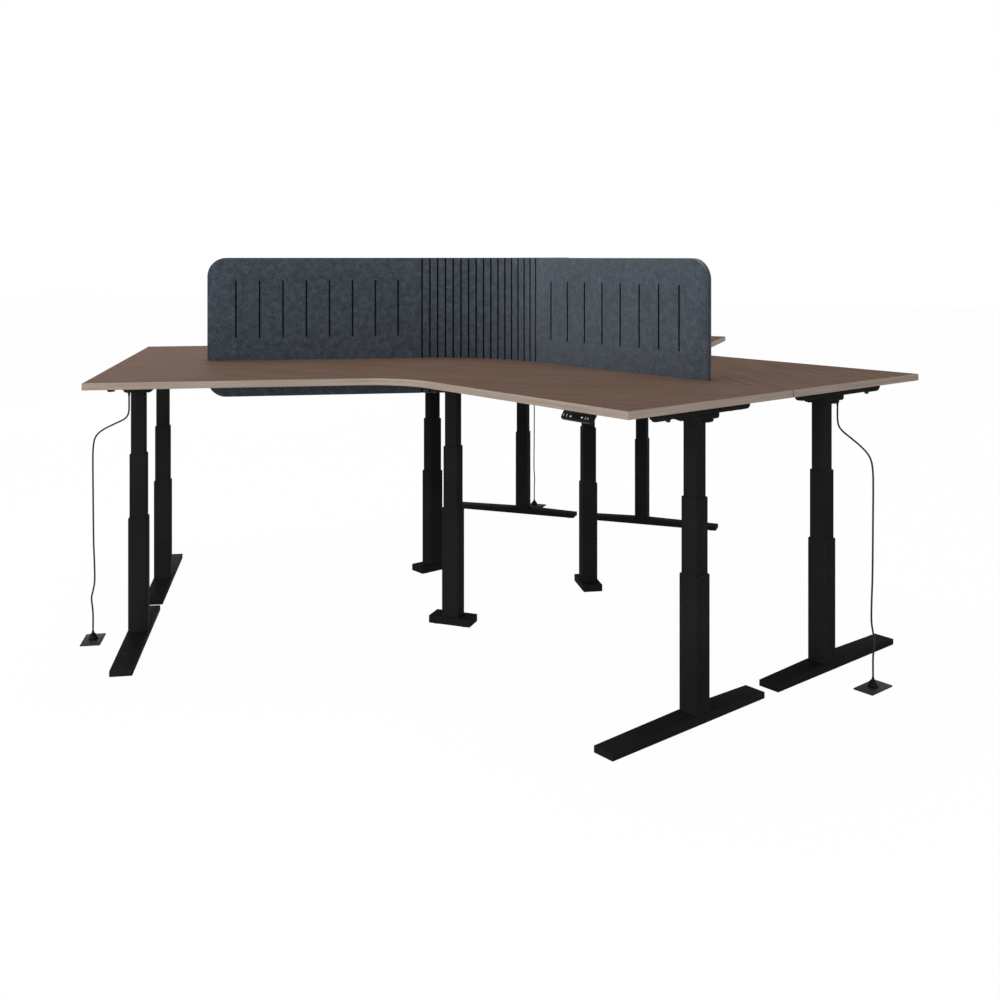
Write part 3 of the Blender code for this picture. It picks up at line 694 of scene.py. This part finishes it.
def cut_felt_painted_shade():
    """The same felt in grooves and slots: no nap, and darkened nearly black as painted shade in the cuts."""
    made = new_finish("cut_felt_painted_shade")
    fibres = pattern(made, 4, 3.0, 0.6)
    colour = add(made, "ValToRGB", {"Fac": fibres}, stops={0.36: "14171B", 0.64: "1F2328"})
    return shade(made, colour, 0.95, 0.02, (fibres, 0.35, 0.001))


def black_powder_coat():
    """Black powder-coated steel: baked paint with a fine grit that breaks up its gloss.

    Real grit is about 0.2 mm; it is drawn 1.5 mm wide so that it shows at this distance.
    """
    made = new_finish("black_powder_coat")
    grit = pattern(made, 1.5)
    patches = pattern(made, 220, 3.0)
    colour = add(made, "ValToRGB", {"Fac": patches}, stops={0.30: "1E1E1E", 0.70: "252524"})
    rough = add(made, "MapRange", {"Value": grit, "To Min": 0.52, "To Max": 0.68})
    return shade(made, colour, rough, 0.004, (grit, 0.12, 0.0003))


def moulded_plastic(name, dark, light, roughness):
    """Injection-moulded ABS with a fine spark-eroded texture, drawn 1 mm wide so that it shows."""
    made = new_finish(name)
    texture = pattern(made, 1.0)
    patches = pattern(made, 60)
    colour = add(made, "ValToRGB", {"Fac": patches}, stops={0.30: dark, 0.70: light})
    rough = add(made, "MapRange", {"Value": texture, "To Min": roughness - 0.06, "To Max": roughness + 0.06})
    return shade(made, colour, rough, 0.06, (texture, 0.08, 0.0002))


def black_key_panel():
    """A polished acrylic panel over the keys, black and glossy, with faint wipe marks in its gloss."""
    made = new_finish("black_key_panel")
    marks = pattern(made, (25, 25, 8), 3.0)
    rough = add(made, "MapRange", {"Value": marks, "To Min": 0.12, "To Max": 0.24})
    return shade(made, srgb("0C0C0D"), rough, 0.04)


def white_key_print():
    """White screen-printed ink, a little uneven in its cover."""
    made = new_finish("white_key_print")
    cover = pattern(made, 2)
    colour = add(made, "ValToRGB", {"Fac": cover}, stops={0.30: "D2D2D0", 0.70: "E4E4E2"})
    return shade(made, colour, 0.5, 0.5)


def black_cord_sheath():
    """PVC sheath of a mains lead: smooth, soft black with a low shine."""
    made = new_finish("black_cord_sheath")
    smudges = pattern(made, (30, 30, 60), 3.0)
    colour = add(made, "ValToRGB", {"Fac": smudges}, stops={0.30: "18181A", 0.70: "222224"})
    rough = add(made, "MapRange", {"Value": smudges, "To Min": 0.40, "To Max": 0.55})
    return shade(made, colour, rough, 0.15)


def black_zinc():
    """Black zinc-plated screws: dark metal with a dull, slightly patchy gloss."""
    made = new_finish("black_zinc")
    patches = pattern(made, 3)
    colour = add(made, "ValToRGB", {"Fac": patches}, stops={0.30: "202022", 0.70: "2C2C2E"})
    rough = add(made, "MapRange", {"Value": patches, "To Min": 0.35, "To Max": 0.5})
    return shade(made, colour, rough, 0.5, None, {"Metallic": 1.0})


# Camera, floor and light


def make_camera():
    data = bpy.data.cameras.new("camera")
    data.sensor_width = CAMERA_SENSOR
    data.lens = CAMERA_LENS
    data.shift_x, data.shift_y = CAMERA_SHIFT
    camera = new_object("camera", data)
    camera.location = HUB + CAMERA_FROM_HUB
    camera.rotation_euler = (math.pi / 2, 0.0, CAMERA_TURN)
    bpy.context.scene.camera = camera


def seen_rays(owner):
    """1 for rays from the camera, and for mirrored and transmitted ones."""
    path = add(owner, "LightPath").outputs
    first = add(owner, "Math", {0: path["Is Camera Ray"], 1: path["Is Glossy Ray"]}, operation="MAXIMUM")
    return add(owner, "Math", {0: first, 1: path["Is Transmission Ray"]}, operation="MAXIMUM")


def make_floor():
    """A plain white floor that keeps a soft shadow."""
    at_rest()
    bpy.ops.mesh.primitive_plane_add(size=FLOOR_SIZE, location=(0.0, 0.0, -FLOOR_DROP))
    floor = bpy.context.object
    floor.name = "floor"
    made = new_finish("white_floor")
    matt = add(made, "BsdfDiffuse", {"Color": srgb("C8C8C8")})
    white = add(made, "Emission", {"Color": srgb("FFFFFF"), "Strength": FLOOR_GLOW})
    share = add(made, "Math", {0: seen_rays(made), 1: FLOOR_GLOW_SHARE}, operation="MULTIPLY")
    mixed = add(made, "MixShader", {0: share, 1: matt, 2: white})
    add(made, "OutputMaterial", {"Surface": mixed})
    floor.data.materials.append(made)


def make_world():
    """White to the camera and in reflections, and a plain soft light on the object."""
    world = without_nodes(bpy.data.worlds.new("studio"))
    bpy.context.scene.world = world
    strength = add(world, "MapRange", {"Value": seen_rays(world), "To Min": SKY_LIGHT, "To Max": 1.0})
    sky = add(world, "Background", {"Color": srgb("FFFFFF"), "Strength": strength})
    add(world, "OutputWorld", {"Surface": sky})


def make_light():
    """Large soft lamps in front of the desks, above them and behind."""
    for name, (place, power) in LAMPS.items():
        data = bpy.data.lights.new(name, "AREA")
        data.shape = "SQUARE"
        data.size = LAMP_SIZE
        data.energy = power
        lamp = new_object(name, data)
        lamp.location = place
        lamp.rotation_euler = (LAMP_TARGET - Vector(place)).to_track_quat("-Z", "Y").to_euler()


# Worktops


def worktop_outline():
    recess_end = SCREEN_REACH + RUNNING_GAP
    rear = SCREEN_FRONT + RUNNING_GAP
    spots = [(WING_LENGTH, WING_DEPTH), (WING_LENGTH, SEAM_HALF), (recess_end, SEAM_HALF), (recess_end, rear)]
    back = both_wings(spots, corner_arc(rear, SCREEN_BEND - RUNNING_GAP))
    return [*back, *reversed(corner_arc(WING_DEPTH, FRONT_FILLET))]


def lay_grain(piece):
    """A UV map in metres in the desk's own frame, so that the grain runs along each desk."""
    grain = piece.data.uv_layers.new(name="grain")
    for loop in piece.data.loops:
        grain.data[loop.index].uv = piece.data.vertices[loop.vertex_index].co.xy


def wing_axes_at(spot):
    return wing_axes("right" if spot.x > 0 else "left")


def spot_key(x, y):
    """A corner's place to a hundredth of a millimetre, by which it is found again."""
    return round(x, 5), round(y, 5)


def make_worktops(laminate, edge_band_and_painted_light):
    """The board and, round it, its edge band, flush with it and rounded outside.

    The band is pale at the front and the ends; near the seam it has the board's darker print, which is
    painted shade between the desks.
    """
    outline = worktop_outline()
    outer = {spot_key(*spot) for spot in outline}
    band = outline_face(outline, TOP)
    bpy.ops.mesh.inset(thickness=BAND)
    bpy.ops.mesh.separate(type="SELECTED")
    board = next(o for o in bpy.context.selected_objects if o != band)
    for piece in (band, board):
        pick(piece, "FACE", every)
        push((0.0, 0.0, -THICKNESS))
        face_out()
    at_rest()

    def outer_rim(edge):
        return not upright(edge) and all(spot_key(*corner.co.xy) in outer for corner in edge.verts)

    # Faces near the seam take the board's darker print: painted shade between the desks.
    def in_seam_painted_shade(face):
        spot = face.calc_center_median()
        return spot.dot(wing_axes_at(spot)[1]) < SEAM_SHADE_SIDE

    round_edges(band, outer_rim, BAND_ROUND, 3)
    lay_grain(board)
    lay_grain(band)
    # Pale band, partly painted front light; near the seam the board's print as painted shade.
    two_finishes(band, (edge_band_and_painted_light, laminate), in_seam_painted_shade)
    on_desks(board, laminate, "board", "top", "worktop")
    on_desks(band, None, "edge_band", "top")


# Screens


def grooved_arc():
    """The screen's face in the bend: V-grooves at an even pitch, with a round land between each two."""
    pitch = CORNER_SWEEP / (GROOVES - 1)
    half = GROOVE_WIDTH / 2 / SCREEN_BEND
    floor = SCREEN_BEND + GROOVE_DEPTH
    groove = [(-half, SCREEN_BEND), (-half / 3, floor), (half / 3, floor), (half, SCREEN_BEND)]
    land = [(pitch * share, SCREEN_BEND) for share in LAND_SHARES]
    turns = []
    for i in range(GROOVES):
        middle = HALF_CORNER + pitch * i
        turns += [(middle + offset, radius) for offset, radius in groove + land]
    return about_corner(SCREEN_FRONT + SCREEN_BEND, turns[: -len(land)])


def screen_panel():
    """One felt panel, bent round the hub, with its outer corners rounded and its rim softened."""
    front = both_wings([(SCREEN_REACH, SCREEN_FRONT)], grooved_arc())
    back = both_wings([(SCREEN_REACH, SEAM_HALF)], corner_arc(SEAM_HALF, SCREEN_BEND + SCREEN_THICKNESS))
    panel = slab([*front, *reversed(back)], SCREEN_LOW, SCREEN_HIGH)
    ends = [on_wing(side, SCREEN_REACH, (SCREEN_FRONT + SEAM_HALF) / 2).xy for side in WINGS]

    def near_end(edge, distance):
        return any((middle_of(edge).xy - end).length < distance for end in ends)

    def end_corner(edge):
        return not upright(edge) and near_end(edge, NEAR)

    def rim(edge):
        """Edges between a face of the panel and its rim, which faces up, down or out at an end."""
        if upright(edge):
            return near_end(edge, SCREEN_CORNER) and sharp(edge)
        return any(abs(face.normal.z) < 1 - FLUSH for face in edge.link_faces) and sharp(edge)

    round_edges(panel, end_corner, SCREEN_CORNER, 16)
    round_edges(panel, rim, SCREEN_ROUND)
    return panel


def cut_slots(panel, side):
    """Blind slots with round ends in the face of one wing."""
    along, out = wing_axes(side)
    first = SLOT_FIRST_REACH[side]
    reaches = [first + SLOT_PITCH * i for i in range(SLOTS)]
    half = SLOT_WIDTH / 2
    half_depth = SCREEN_FRONT - SLOT_DEPTH / 2

    def reach_of(face):
        return face.calc_center_median().dot(along)

    def on_face(face):
        return face.normal.dot(out) > FLUSH and reach_of(face) > first / 2

    def strip(face):
        return on_face(face) and any(abs(reach_of(face) - reach) < half / 2 for reach in reaches)

    def slot(face):
        return strip(face) and SLOT_LOW < face.calc_center_median().z < SLOT_HIGH

    def slot_corner(edge):
        at_half = abs(middle_of(edge).dot(out) - half_depth) < NEAR / 2
        return at_half and abs(run_of(edge).dot(out)) > FLUSH

    for reach in reaches:
        for edge in (reach - half, reach + half):
            pick(panel, "FACE", on_face)
            bpy.ops.mesh.bisect(plane_co=along * edge, plane_no=along)
    for height in (SLOT_LOW, SLOT_HIGH):
        pick(panel, "FACE", strip)
        bpy.ops.mesh.bisect(plane_co=(0.0, 0.0, height), plane_no=(0.0, 0.0, 1.0))
    pick(panel, "FACE", slot)
    push(-out * SLOT_DEPTH)
    round_edges(panel, slot_corner, SLOT_END_ROUND, 4)


def in_cut_painted_shade(face):
    """The walls and floors of grooves and slots, which lie below the panel's face and away from its rim; they
    get painted shade.
    """
    spot = face.calc_center_median()
    along, across = wing_axes_at(spot)
    from_bend = Vector((spot.x, spot.y - corner_y(SCREEN_FRONT + SCREEN_BEND)))
    if abs(math.atan2(from_bend.x, from_bend.y)) < CORNER_SWEEP / 2:
        depth = from_bend.length - SCREEN_BEND
    else:
        depth = SCREEN_FRONT - spot.dot(across)
    off_rim = SCREEN_LOW + 2 * NEAR < spot.z < SCREEN_HIGH - 2 * NEAR
    off_end = spot.dot(along) < SCREEN_REACH - SCREEN_CORNER
    return off_rim and off_end and CUT_LEAST < depth < GROOVE_DEPTH + NEAR / 2


def make_screens(felt, cut_painted_shade):
    panel = screen_panel()
    for side in WINGS:
        cut_slots(panel, side)
    # The faces in grooves and slots get the darkened felt, which is painted shade in the cuts.
    two_finishes(panel, (felt, cut_painted_shade), in_cut_painted_shade)
    on_desks(panel, None, "felt_screen", "top", "screen")


# Columns and drive heads


def open_tube(section, low, high, wall=TUBE_WALL):
    """A tube with rounded corners, open at both ends."""
    piece = block((*section, high - low), low)
    round_edges(piece, upright, TUBE_CORNER, 6)
    pick(piece, "FACE", lambda face: abs(face.normal.z) > ALIGNED)
    bpy.ops.mesh.delete(type="FACE")
    take(piece)
    step = piece.modifiers.new("wall", "SOLIDIFY")
    step.thickness = wall
    step.offset = -1.0
    step.use_even_offset = True
    bpy.ops.object.modifier_apply(modifier=step.name)
    return piece


def guide_bush(outer, inner, low):
    """The plastic ring on a tube's mouth in which the next stage slides."""
    section = tuple(side - 2 * BUSH_INSET for side in outer)
    wall = (section[0] - inner[0]) / 2 - RUNNING_GAP
    ring = open_tube(section, low, low + BUSH_HEIGHT, wall)
    round_edges(ring, sharp_above(low + BUSH_HEIGHT / 2), BUSH_ROUND)
    return ring


def make_columns(steel, plastic):
    """Three telescopic stages on each leg, with a guide bush on the two lower mouths."""
    for legs, node in ((("left", "right"), "desk1_left_foot"), (("corner",), "desk1_corner_foot")):
        tube = open_tube(LOWER_SECTION, high_of(node) + RUNNING_GAP, LOWER_TOP)
        on_legs(tube, steel, "lower_stage", "base", "lower_tube", legs)
    tube = open_tube(MIDDLE_SECTION, MIDDLE_LOW, MIDDLE_TOP)
    on_legs(tube, steel, "middle_stage_tube", "middle_stage", "middle_tube")
    tube = open_tube(UPPER_SECTION, UPPER_LOW, CASE_BOTTOM)
    on_legs(tube, steel, "upper_stage", "top", "upper_tube")
    bush = guide_bush(LOWER_SECTION, MIDDLE_SECTION, LOWER_TOP)
    on_legs(bush, plastic, "lower_bush", "base")
    bush = guide_bush(MIDDLE_SECTION, UPPER_SECTION, MIDDLE_TOP)
    on_legs(bush, plastic, "middle_bush", "middle_stage")


def drive_case():
    """The gear case on a column: a long upper shell on a shorter collar, both with rounded lower rims."""
    shells = []
    for size, low, radius in ((HEAD_CASE, CASE_BOTTOM, HEAD_ROUND), (HEAD_COLLAR, HEAD_BOTTOM, COLLAR_ROUND)):
        shell = block(size, low)
        round_edges(shell, upright, HEAD_CORNER, 4)
        round_edges(shell, sharp_below(low + NEAR), radius, 4)
        shells.append(shell)
    return joined(shells)


def motor_housing():
    """The motor that lies from the case towards the hub, with rounded lower edges."""
    body = block(MOTOR, MOTOR_LOW, -MOTOR[0] / 2)
    round_edges(body, lambda edge: upright(edge) and middle_of(edge).x < -MOTOR[0] / 2, MOTOR_CORNER, 4)
    round_edges(body, sharp_below(MOTOR_LOW + NEAR), MOTOR_ROUND, 4)
    return body


def gland():
    """The ribbed, tapered strain relief that the mains lead comes out of."""
    profile = [(0.0, GLAND_TOP), (GLAND_RADIUS, GLAND_TOP), (GLAND_RADIUS, GLAND_FLANGE)]
    pitch = (GLAND_FLANGE - GLAND_BOTTOM) / len(GLAND_RIB_RADII)
    for i, radius in enumerate(GLAND_RIB_RADII):
        height = GLAND_FLANGE - pitch * i
        rib_end = height - pitch * GLAND_RIB_SHARE
        profile += [(radius, height), (radius, rib_end)]
        profile += [(radius - GLAND_GROOVE, rib_end), (radius - GLAND_GROOVE, height - pitch)]
    profile.append((0.0, GLAND_BOTTOM))
    return turned(profile, 20, GLAND_PLACE)


def head_at(place, kind):
    """The head of a screw or a bolt, seen from below."""
    side, steps = kind
    x, y, z = place
    return turned([(radius, z - depth) for radius, depth in side], steps, (x, y))


def make_heads(steel, plastic, zinc):
    on_legs(drive_case(), steel, "drive_case", "top")
    on_legs(motor_housing(), steel, "motor", "top")
    on_legs(gland(), plastic, "cord_gland", "top", None, ("left",))
    corners = four_corners(*(side / 2 - HEAD_SCREW_INSET for side in HEAD_COLLAR[:2]))
    screws = [head_at((x, y, HEAD_BOTTOM), SCREW) for x, y in corners]
    on_legs(joined(screws), zinc, "case_screws", "top")


# Feet


def foot_bar(size, end_top, seat_middle=0.0, seat_top=None):
    """A flat steel bar with softened edges. With a seat_top it rises from its ends to the column's seat."""
    bar = block((*size, end_top - GLIDE_HEIGHT), GLIDE_HEIGHT)
    if seat_top:
        for y in (seat_middle - SEAT_HALF, seat_middle + SEAT_HALF):
            pick(bar, "FACE", every)
            bpy.ops.mesh.bisect(plane_co=(0.0, y, 0.0), plane_no=(0.0, 1.0, 0.0))

        def seat(face):
            return face.normal.z > ALIGNED and abs(face.calc_center_median().y - seat_middle) < SEAT_HALF

        pick(bar, "FACE", seat)
        bpy.ops.transform.translate(value=(0.0, 0.0, seat_top - end_top))
    round_edges(bar, sharp, FOOT_ROUND, 3)
    return bar


def glides(size):
    """Four round pads under a foot."""
    corners = four_corners(*(side / 2 - inset for side, inset in zip(size, GLIDE_INSET)))
    return joined([turned(GLIDE_SIDE, 24, corner) for corner in corners])


def make_feet(steel, plastic):
    """The long feet of the side legs, set off towards the user, and the short feet of the corner legs."""
    ahead = LONG_FOOT_SETBACK - LEG_SETBACK
    feet = {}
    for side, (_, inward) in WINGS.items():
        bar = foot_bar(LONG_FOOT, LONG_FOOT_END_TOP, -inward * ahead, high_of("desk1_left_foot"))
        feet[side] = (bar, glides(LONG_FOOT), Matrix.Translation((0.0, inward * ahead, 0.0)))
    bar = foot_bar(SHORT_FOOT, high_of("desk1_corner_foot"))
    feet["corner"] = (bar, glides(SHORT_FOOT), Matrix.Rotation(math.pi / 2, 4, "Z"))
    for leg, (bar, pads, place) in feet.items():
        for model in (bar, pads):
            model.data.transform(place)
        on_legs(bar, steel, "foot_bar", "base", "foot", (leg,))
        on_legs(pads, plastic, "glides", "base", None, (leg,))


# Frames


def chevron(setback):
    """The outline of a rail that follows both wings and is mitred in the corner."""
    lines = []
    for line in (setback - RAIL_WIDTH / 2, setback + RAIL_WIDTH / 2):
        corner = (0.0, corner_y(line))
        lines.append(both_wings([(BRACKET_REACH, line)], [corner]))
    return [*lines[0], *reversed(lines[1])]


def side_bracket(side):
    """A pressed bracket across the wing's end, round at its lower ends, with a pad under its front end."""
    _, inward = WINGS[side]
    near, far = BRACKET_SPANS[side]
    bracket = block((BRACKET_WIDTH, far - near, BRACKET_HEIGHT), BRACKET_LOW)
    crosswise = runs_along(X)
    low_end = sharp_below(BRACKET_LOW + NEAR)
    round_edges(bracket, lambda edge: crosswise(edge) and low_end(edge), BRACKET_ROUND, 8)
    round_edges(bracket, sharp_below(FRAME_TOP - NEAR), BRACKET_EDGE)
    ahead = (far - near) / 2 - PAD_FROM_END - PAD[1] / 2
    pad = block(PAD, PAD_LOW, y=inward * ahead)
    round_edges(pad, upright, PAD_CORNER, 3)
    round_edges(pad, sharp_below(BRACKET_LOW - NEAR), SOFT_EDGE)
    whole = joined([bracket, pad])
    whole.data.transform(wing_frame(side, BRACKET_REACH, (near + far) / 2))
    return whole


def screen_arm(side, reach):
    """An arm from the rear rail to the screen, with an upright plate against the felt."""
    near = SCREEN_FRONT + RUNNING_GAP
    far = RAIL_SETBACKS[0]
    arm = block((ARM_WIDTH, far - near, ARM_THICKNESS), ARM_LOW)
    round_edges(arm, sharp, SOFT_EDGE)
    arm.data.transform(wing_frame(side, reach, (far + near) / 2))
    plate = block(ARM_PLATE, FRAME_TOP - ARM_PLATE[2])
    round_edges(plate, runs_along(Y), ARM_PLATE_CORNER, 4)
    round_edges(plate, sharp, ARM_PLATE_EDGE)
    plate.data.transform(wing_frame(side, reach, near + ARM_PLATE[1] / 2))
    return [arm, plate]


def make_frames(steel, zinc):
    """The welded frame under the worktop and its screws."""
    shapes = []
    for setback in RAIL_SETBACKS:
        rail = slab(chevron(setback), RAIL_TOP - RAIL_HEIGHT, RAIL_TOP)
        round_edges(rail, sharp, RAIL_ROUND)
        shapes.append(rail)
    plate = block(CORNER_PLATE, CORNER_PLATE_LOW, y=-CORNER_LEG_BACK)
    round_edges(plate, upright, CORNER_PLATE_CORNER, 5)
    round_edges(plate, sharp, SOFT_EDGE)
    shapes.append(plate)
    screws = []
    for side, (near, far) in BRACKET_SPANS.items():
        shapes.append(side_bracket(side))
        for reach in ARM_REACHES:
            shapes += screen_arm(side, reach)
        for from_end in BRACKET_SCREWS_FROM_END:
            screws.append(head_at(on_wing(side, BRACKET_REACH, near + from_end, BRACKET_LOW), SCREW))
        screws.append(head_at(on_wing(side, BRACKET_REACH, far - BOLT_FROM_END, PAD_LOW), BOLT))
    for x, y in four_corners(*(extent / 2 - CORNER_SCREW_INSET for extent in CORNER_PLATE[:2])):
        screws.append(head_at((x, y - CORNER_LEG_BACK, CORNER_PLATE_LOW), SCREW))
    on_desks(joined(shapes), steel, "frame", "top", "steel_frame")
    on_desks(joined(screws), zinc, "frame_screws", "top")


# Handsets and control boxes


def handset_frame(desk):
    """The place of a desk's handset: the board's edge above it is at Y = 0 and the user on the -Y side."""
    wing = HANDSET_WINGS[desk]
    angle, inward = WINGS[wing]
    turn = angle if inward < 0 else angle + math.pi
    return placed(on_wing(wing, HANDSET_REACH, WING_DEPTH, FRAME_TOP), turn)


def handset_case():
    """A case with a leaning face, drawn from its end and pushed out along its length, on a flat tongue."""
    half = HANDSET_LENGTH / 2
    outline = [(-proud, -drop) for proud, drop in HANDSET_PROFILE]
    case = slab(outline, -half, half)
    case.data.transform(Matrix(((0, 0, 1, 0), (1, 0, 0, 0), (0, 1, 0, 0), (0, 0, 0, 1))))
    lengthwise = runs_along(X)

    def lower(edge):
        return lengthwise(edge) and middle_of(edge).z < HANDSET_ROUND_BELOW

    def end_rim(edge):
        return sharp(edge) and abs(middle_of(edge).x) > half - NEAR

    round_edges(case, lower, HANDSET_ROUND, 3)
    round_edges(case, end_rim, HANDSET_ROUND, 4)
    back = -HANDSET_PROFILE[0][0]
    low = -TONGUE_SUNK - TONGUE[2]
    tongue = block(TONGUE, low, y=back - TONGUE_SUNK + TONGUE[1] / 2)
    round_edges(tongue, lambda edge: upright(edge) and middle_of(edge).y > back, TONGUE_CORNER, 5)
    round_edges(tongue, sharp, TONGUE_EDGE)
    return joined([case, tongue])


def onto_face(piece):
    """Lays a piece that was made upright about the origin on the middle of the handset's leaning face."""
    proud, drop = HANDSET_PROFILE[-2]
    lean = math.atan2(proud, drop)
    piece.data.transform(Matrix.Translation((0.0, -proud / 2, -drop / 2)) @ Matrix.Rotation(-lean, 4, "X"))
    return piece


def key_panel():
    """The glossy panel on the handset's face, a little proud of it."""
    panel = block(KEY_PANEL, -KEY_PANEL[2] / 2)
    round_edges(panel, runs_along(Y), KEY_PANEL_CORNER, 5)
    round_edges(panel, sharp, KEY_PANEL_EDGE)
    return onto_face(panel)


def digit_print(digit):
    at_rest()
    bpy.ops.object.text_add()
    text = bpy.context.object
    ink = text.data
    ink.body = digit
    ink.size = DIGIT_SIZE
    ink.align_x = "CENTER"
    ink.align_y = "CENTER"
    ink.extrude = INK_HALF
    bpy.ops.object.convert(target="MESH")
    return text


def arrow_print(rise):
    """A chevron that points up, or down where its rise is negative."""
    inner = ARROW_HALF - ARROW_STROKE
    outline = [(-ARROW_HALF, -rise), (0.0, rise), (ARROW_HALF, -rise)]
    outline += [(inner, -rise), (0.0, 0.0), (-inner, -rise)]
    return slab(outline, -INK_HALF, INK_HALF)


def key_print(key, x):
    """A key's print, stood up in front of the panel at its place along it, below the panel's middle."""
    rises = {"up": ARROW_RISE, "down": -ARROW_RISE}
    flat = arrow_print(rises[key]) if key in rises else digit_print(key)
    place = Matrix.Translation((x, -KEY_PROUD, -KEY_DROP))
    flat.data.transform(place @ Matrix.Rotation(math.pi / 2, 4, "X"))
    return onto_face(flat)


def make_handsets(plastic, panel_finish, print_finish):
    """The handset with its panel and printed keys: two digits and an arrow on each side of the display."""
    printed = joined([key_print(*key) for key in KEYS])
    places = {desk: handset_frame(desk) for desk in DESKS}
    on_desks(handset_case(), plastic, "handset_case", "top", "handset", places)
    on_desks(key_panel(), panel_finish, "key_panel", "top", None, places)
    on_desks(printed, print_finish, "key_print", "top", None, places)


def make_control_boxes(plastic):
    """The control box under the right wing, with cooling ribs below."""
    box = block(BOX, BOX_LOW)
    round_edges(box, upright, BOX_CORNER, 4)
    round_edges(box, sharp_below(BOX_LOW + NEAR), BOX_ROUND, 3)
    ribs = []
    for i in range(RIBS):
        rib = block(RIB, RIB_LOW, RIB_PITCH * (i - (RIBS - 1) / 2))
        round_edges(rib, sharp_below(BOX_LOW - NEAR), SOFT_EDGE)
        ribs.append(rib)
    box = joined([box, *ribs])
    box.data.transform(wing_frame("right", BOX_REACH, BOX_SETBACK))
    on_desks(box, plastic, "control_case", "top", "control_box")


# Mains leads


def plug_profile():
    """The plug's side from the nozzle down over a bell to its rim."""
    bell = []
    for i in range(PLUG_STEPS + 1):
        share = 1 - i / PLUG_STEPS
        radius = PLUG_NECK + (PLUG_RADIUS - PLUG_NECK) * (1 - share**PLUG_SWELL)
        bell.append((radius, PLUG_RIM + (PLUG_SHOULDER - PLUG_RIM) * share))
    nozzle = [(0.0, PLUG_HIGH), (PLUG_NECK - PLUG_EDGE / 2, PLUG_HIGH), (PLUG_NECK, PLUG_HIGH - PLUG_EDGE)]
    base = [(PLUG_RADIUS, PLUG_LOW + PLUG_EDGE), (PLUG_RADIUS - PLUG_EDGE, PLUG_LOW), (0.0, PLUG_LOW)]
    return [*nozzle, *bell, *base]


def make_plugs(plastic, plate_finish):
    """The bell-shaped plug on its floor plate."""
    places = {desk: wing_frame("left", *spot) for desk, spot in PLUG_SPOTS.items()}
    plug = turned(plug_profile(), 32)
    plate = block(PLATE, 0.0)
    round_edges(plate, upright, PLATE_CORNER, 4)
    round_edges(plate, sharp_above(PLATE[2] - NEAR / 2), SOFT_EDGE)
    plugs = on_desks(plug, plastic, "mains_plug", "base", "plug", places)
    plates = on_desks(plate, plate_finish, "socket_plate", "base", "floor_plate", places)
    return plugs, plates


def smooth_route(points):
    """Points read from a smooth curve through the given ones."""
    ends = [2 * points[0] - points[1], *points, 2 * points[-1] - points[-2]]
    read = []
    for i in range(len(points) - 1):
        before, start, end, after = ends[i : i + 4]
        for j in range(CORD_SAMPLES):
            t = j / CORD_SAMPLES
            bend = 2 * before - 5 * start + 4 * end - after
            twist = 3 * start - before - 3 * end + after
            read.append(start + ((end - before) * t + bend * t**2 + twist * t**3) / 2)
    return [*read, points[-1]]


def cord_route(desk):
    """The lead's points: down from the gland beside the left leg, then down to the plug on the floor."""
    plug_reach, plug_setback = PLUG_SPOTS[desk]
    reach = LEG_REACH + GLAND_PLACE[0]
    setback = LEG_SETBACK + GLAND_PLACE[1]
    route = []
    for share, drop in CORD_FALL:
        along = reach + (plug_reach - reach) * share
        across = setback + (plug_setback - setback) * share
        route.append(on_wing("left", along, across, GLAND_BOTTOM - RUNNING_GAP - drop))
    for along, height in CORD_RISE:
        route.append(on_wing("left", plug_reach + along, plug_setback, PLUG_HIGH + RUNNING_GAP + height))
    return route


def make_cords(sheath):
    """The mains leads: each hangs from its gland down to its plug."""
    for desk in DESKS:
        path = [desk_frame(desk) @ point for point in smooth_route(cord_route(desk))]
        curve = bpy.data.curves.new(f"{desk}_mains_lead", "CURVE")
        curve.dimensions = "3D"
        curve.bevel_depth = CORD_DIAMETER / 2
        curve.bevel_resolution = 4
        curve.use_fill_caps = True
        spline = curve.splines.new("POLY")
        spline.points.add(len(path) - 1)
        for point, spot in zip(spline.points, path):
            point.co = (*spot, 1.0)
        take(new_object(f"{desk}_mains_lead", curve))
        bpy.ops.object.convert(target="MESH")
        cord = bpy.context.object
        finish_model(cord, sheath)
        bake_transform(cord)
        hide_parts(f"{desk}_power_cord")


def main():
    bpy.context.scene.view_settings.view_transform = "Standard"
    make_camera()
    make_floor()
    make_world()
    make_light()

    steel = black_powder_coat()
    plastic = moulded_plastic("black_abs", "0E0E0F", "151516", 0.42)
    nylon = moulded_plastic("black_nylon", "18181A", "222224", 0.55)
    zinc = black_zinc()

    plugs, plates = make_plugs(plastic, moulded_plastic("grey_floor_plate", "303031", "3A3A3B", 0.6))
    make_cords(black_cord_sheath())
    make_worktops(brown_oak_laminate(), oak_edge_band_and_painted_light())
    make_screens(grey_felt(), cut_felt_painted_shade())
    make_columns(steel, nylon)
    make_heads(steel, nylon, zinc)
    make_feet(steel, nylon)
    make_frames(steel, zinc)
    make_handsets(plastic, black_key_panel(), white_key_print())
    make_control_boxes(plastic)


main()
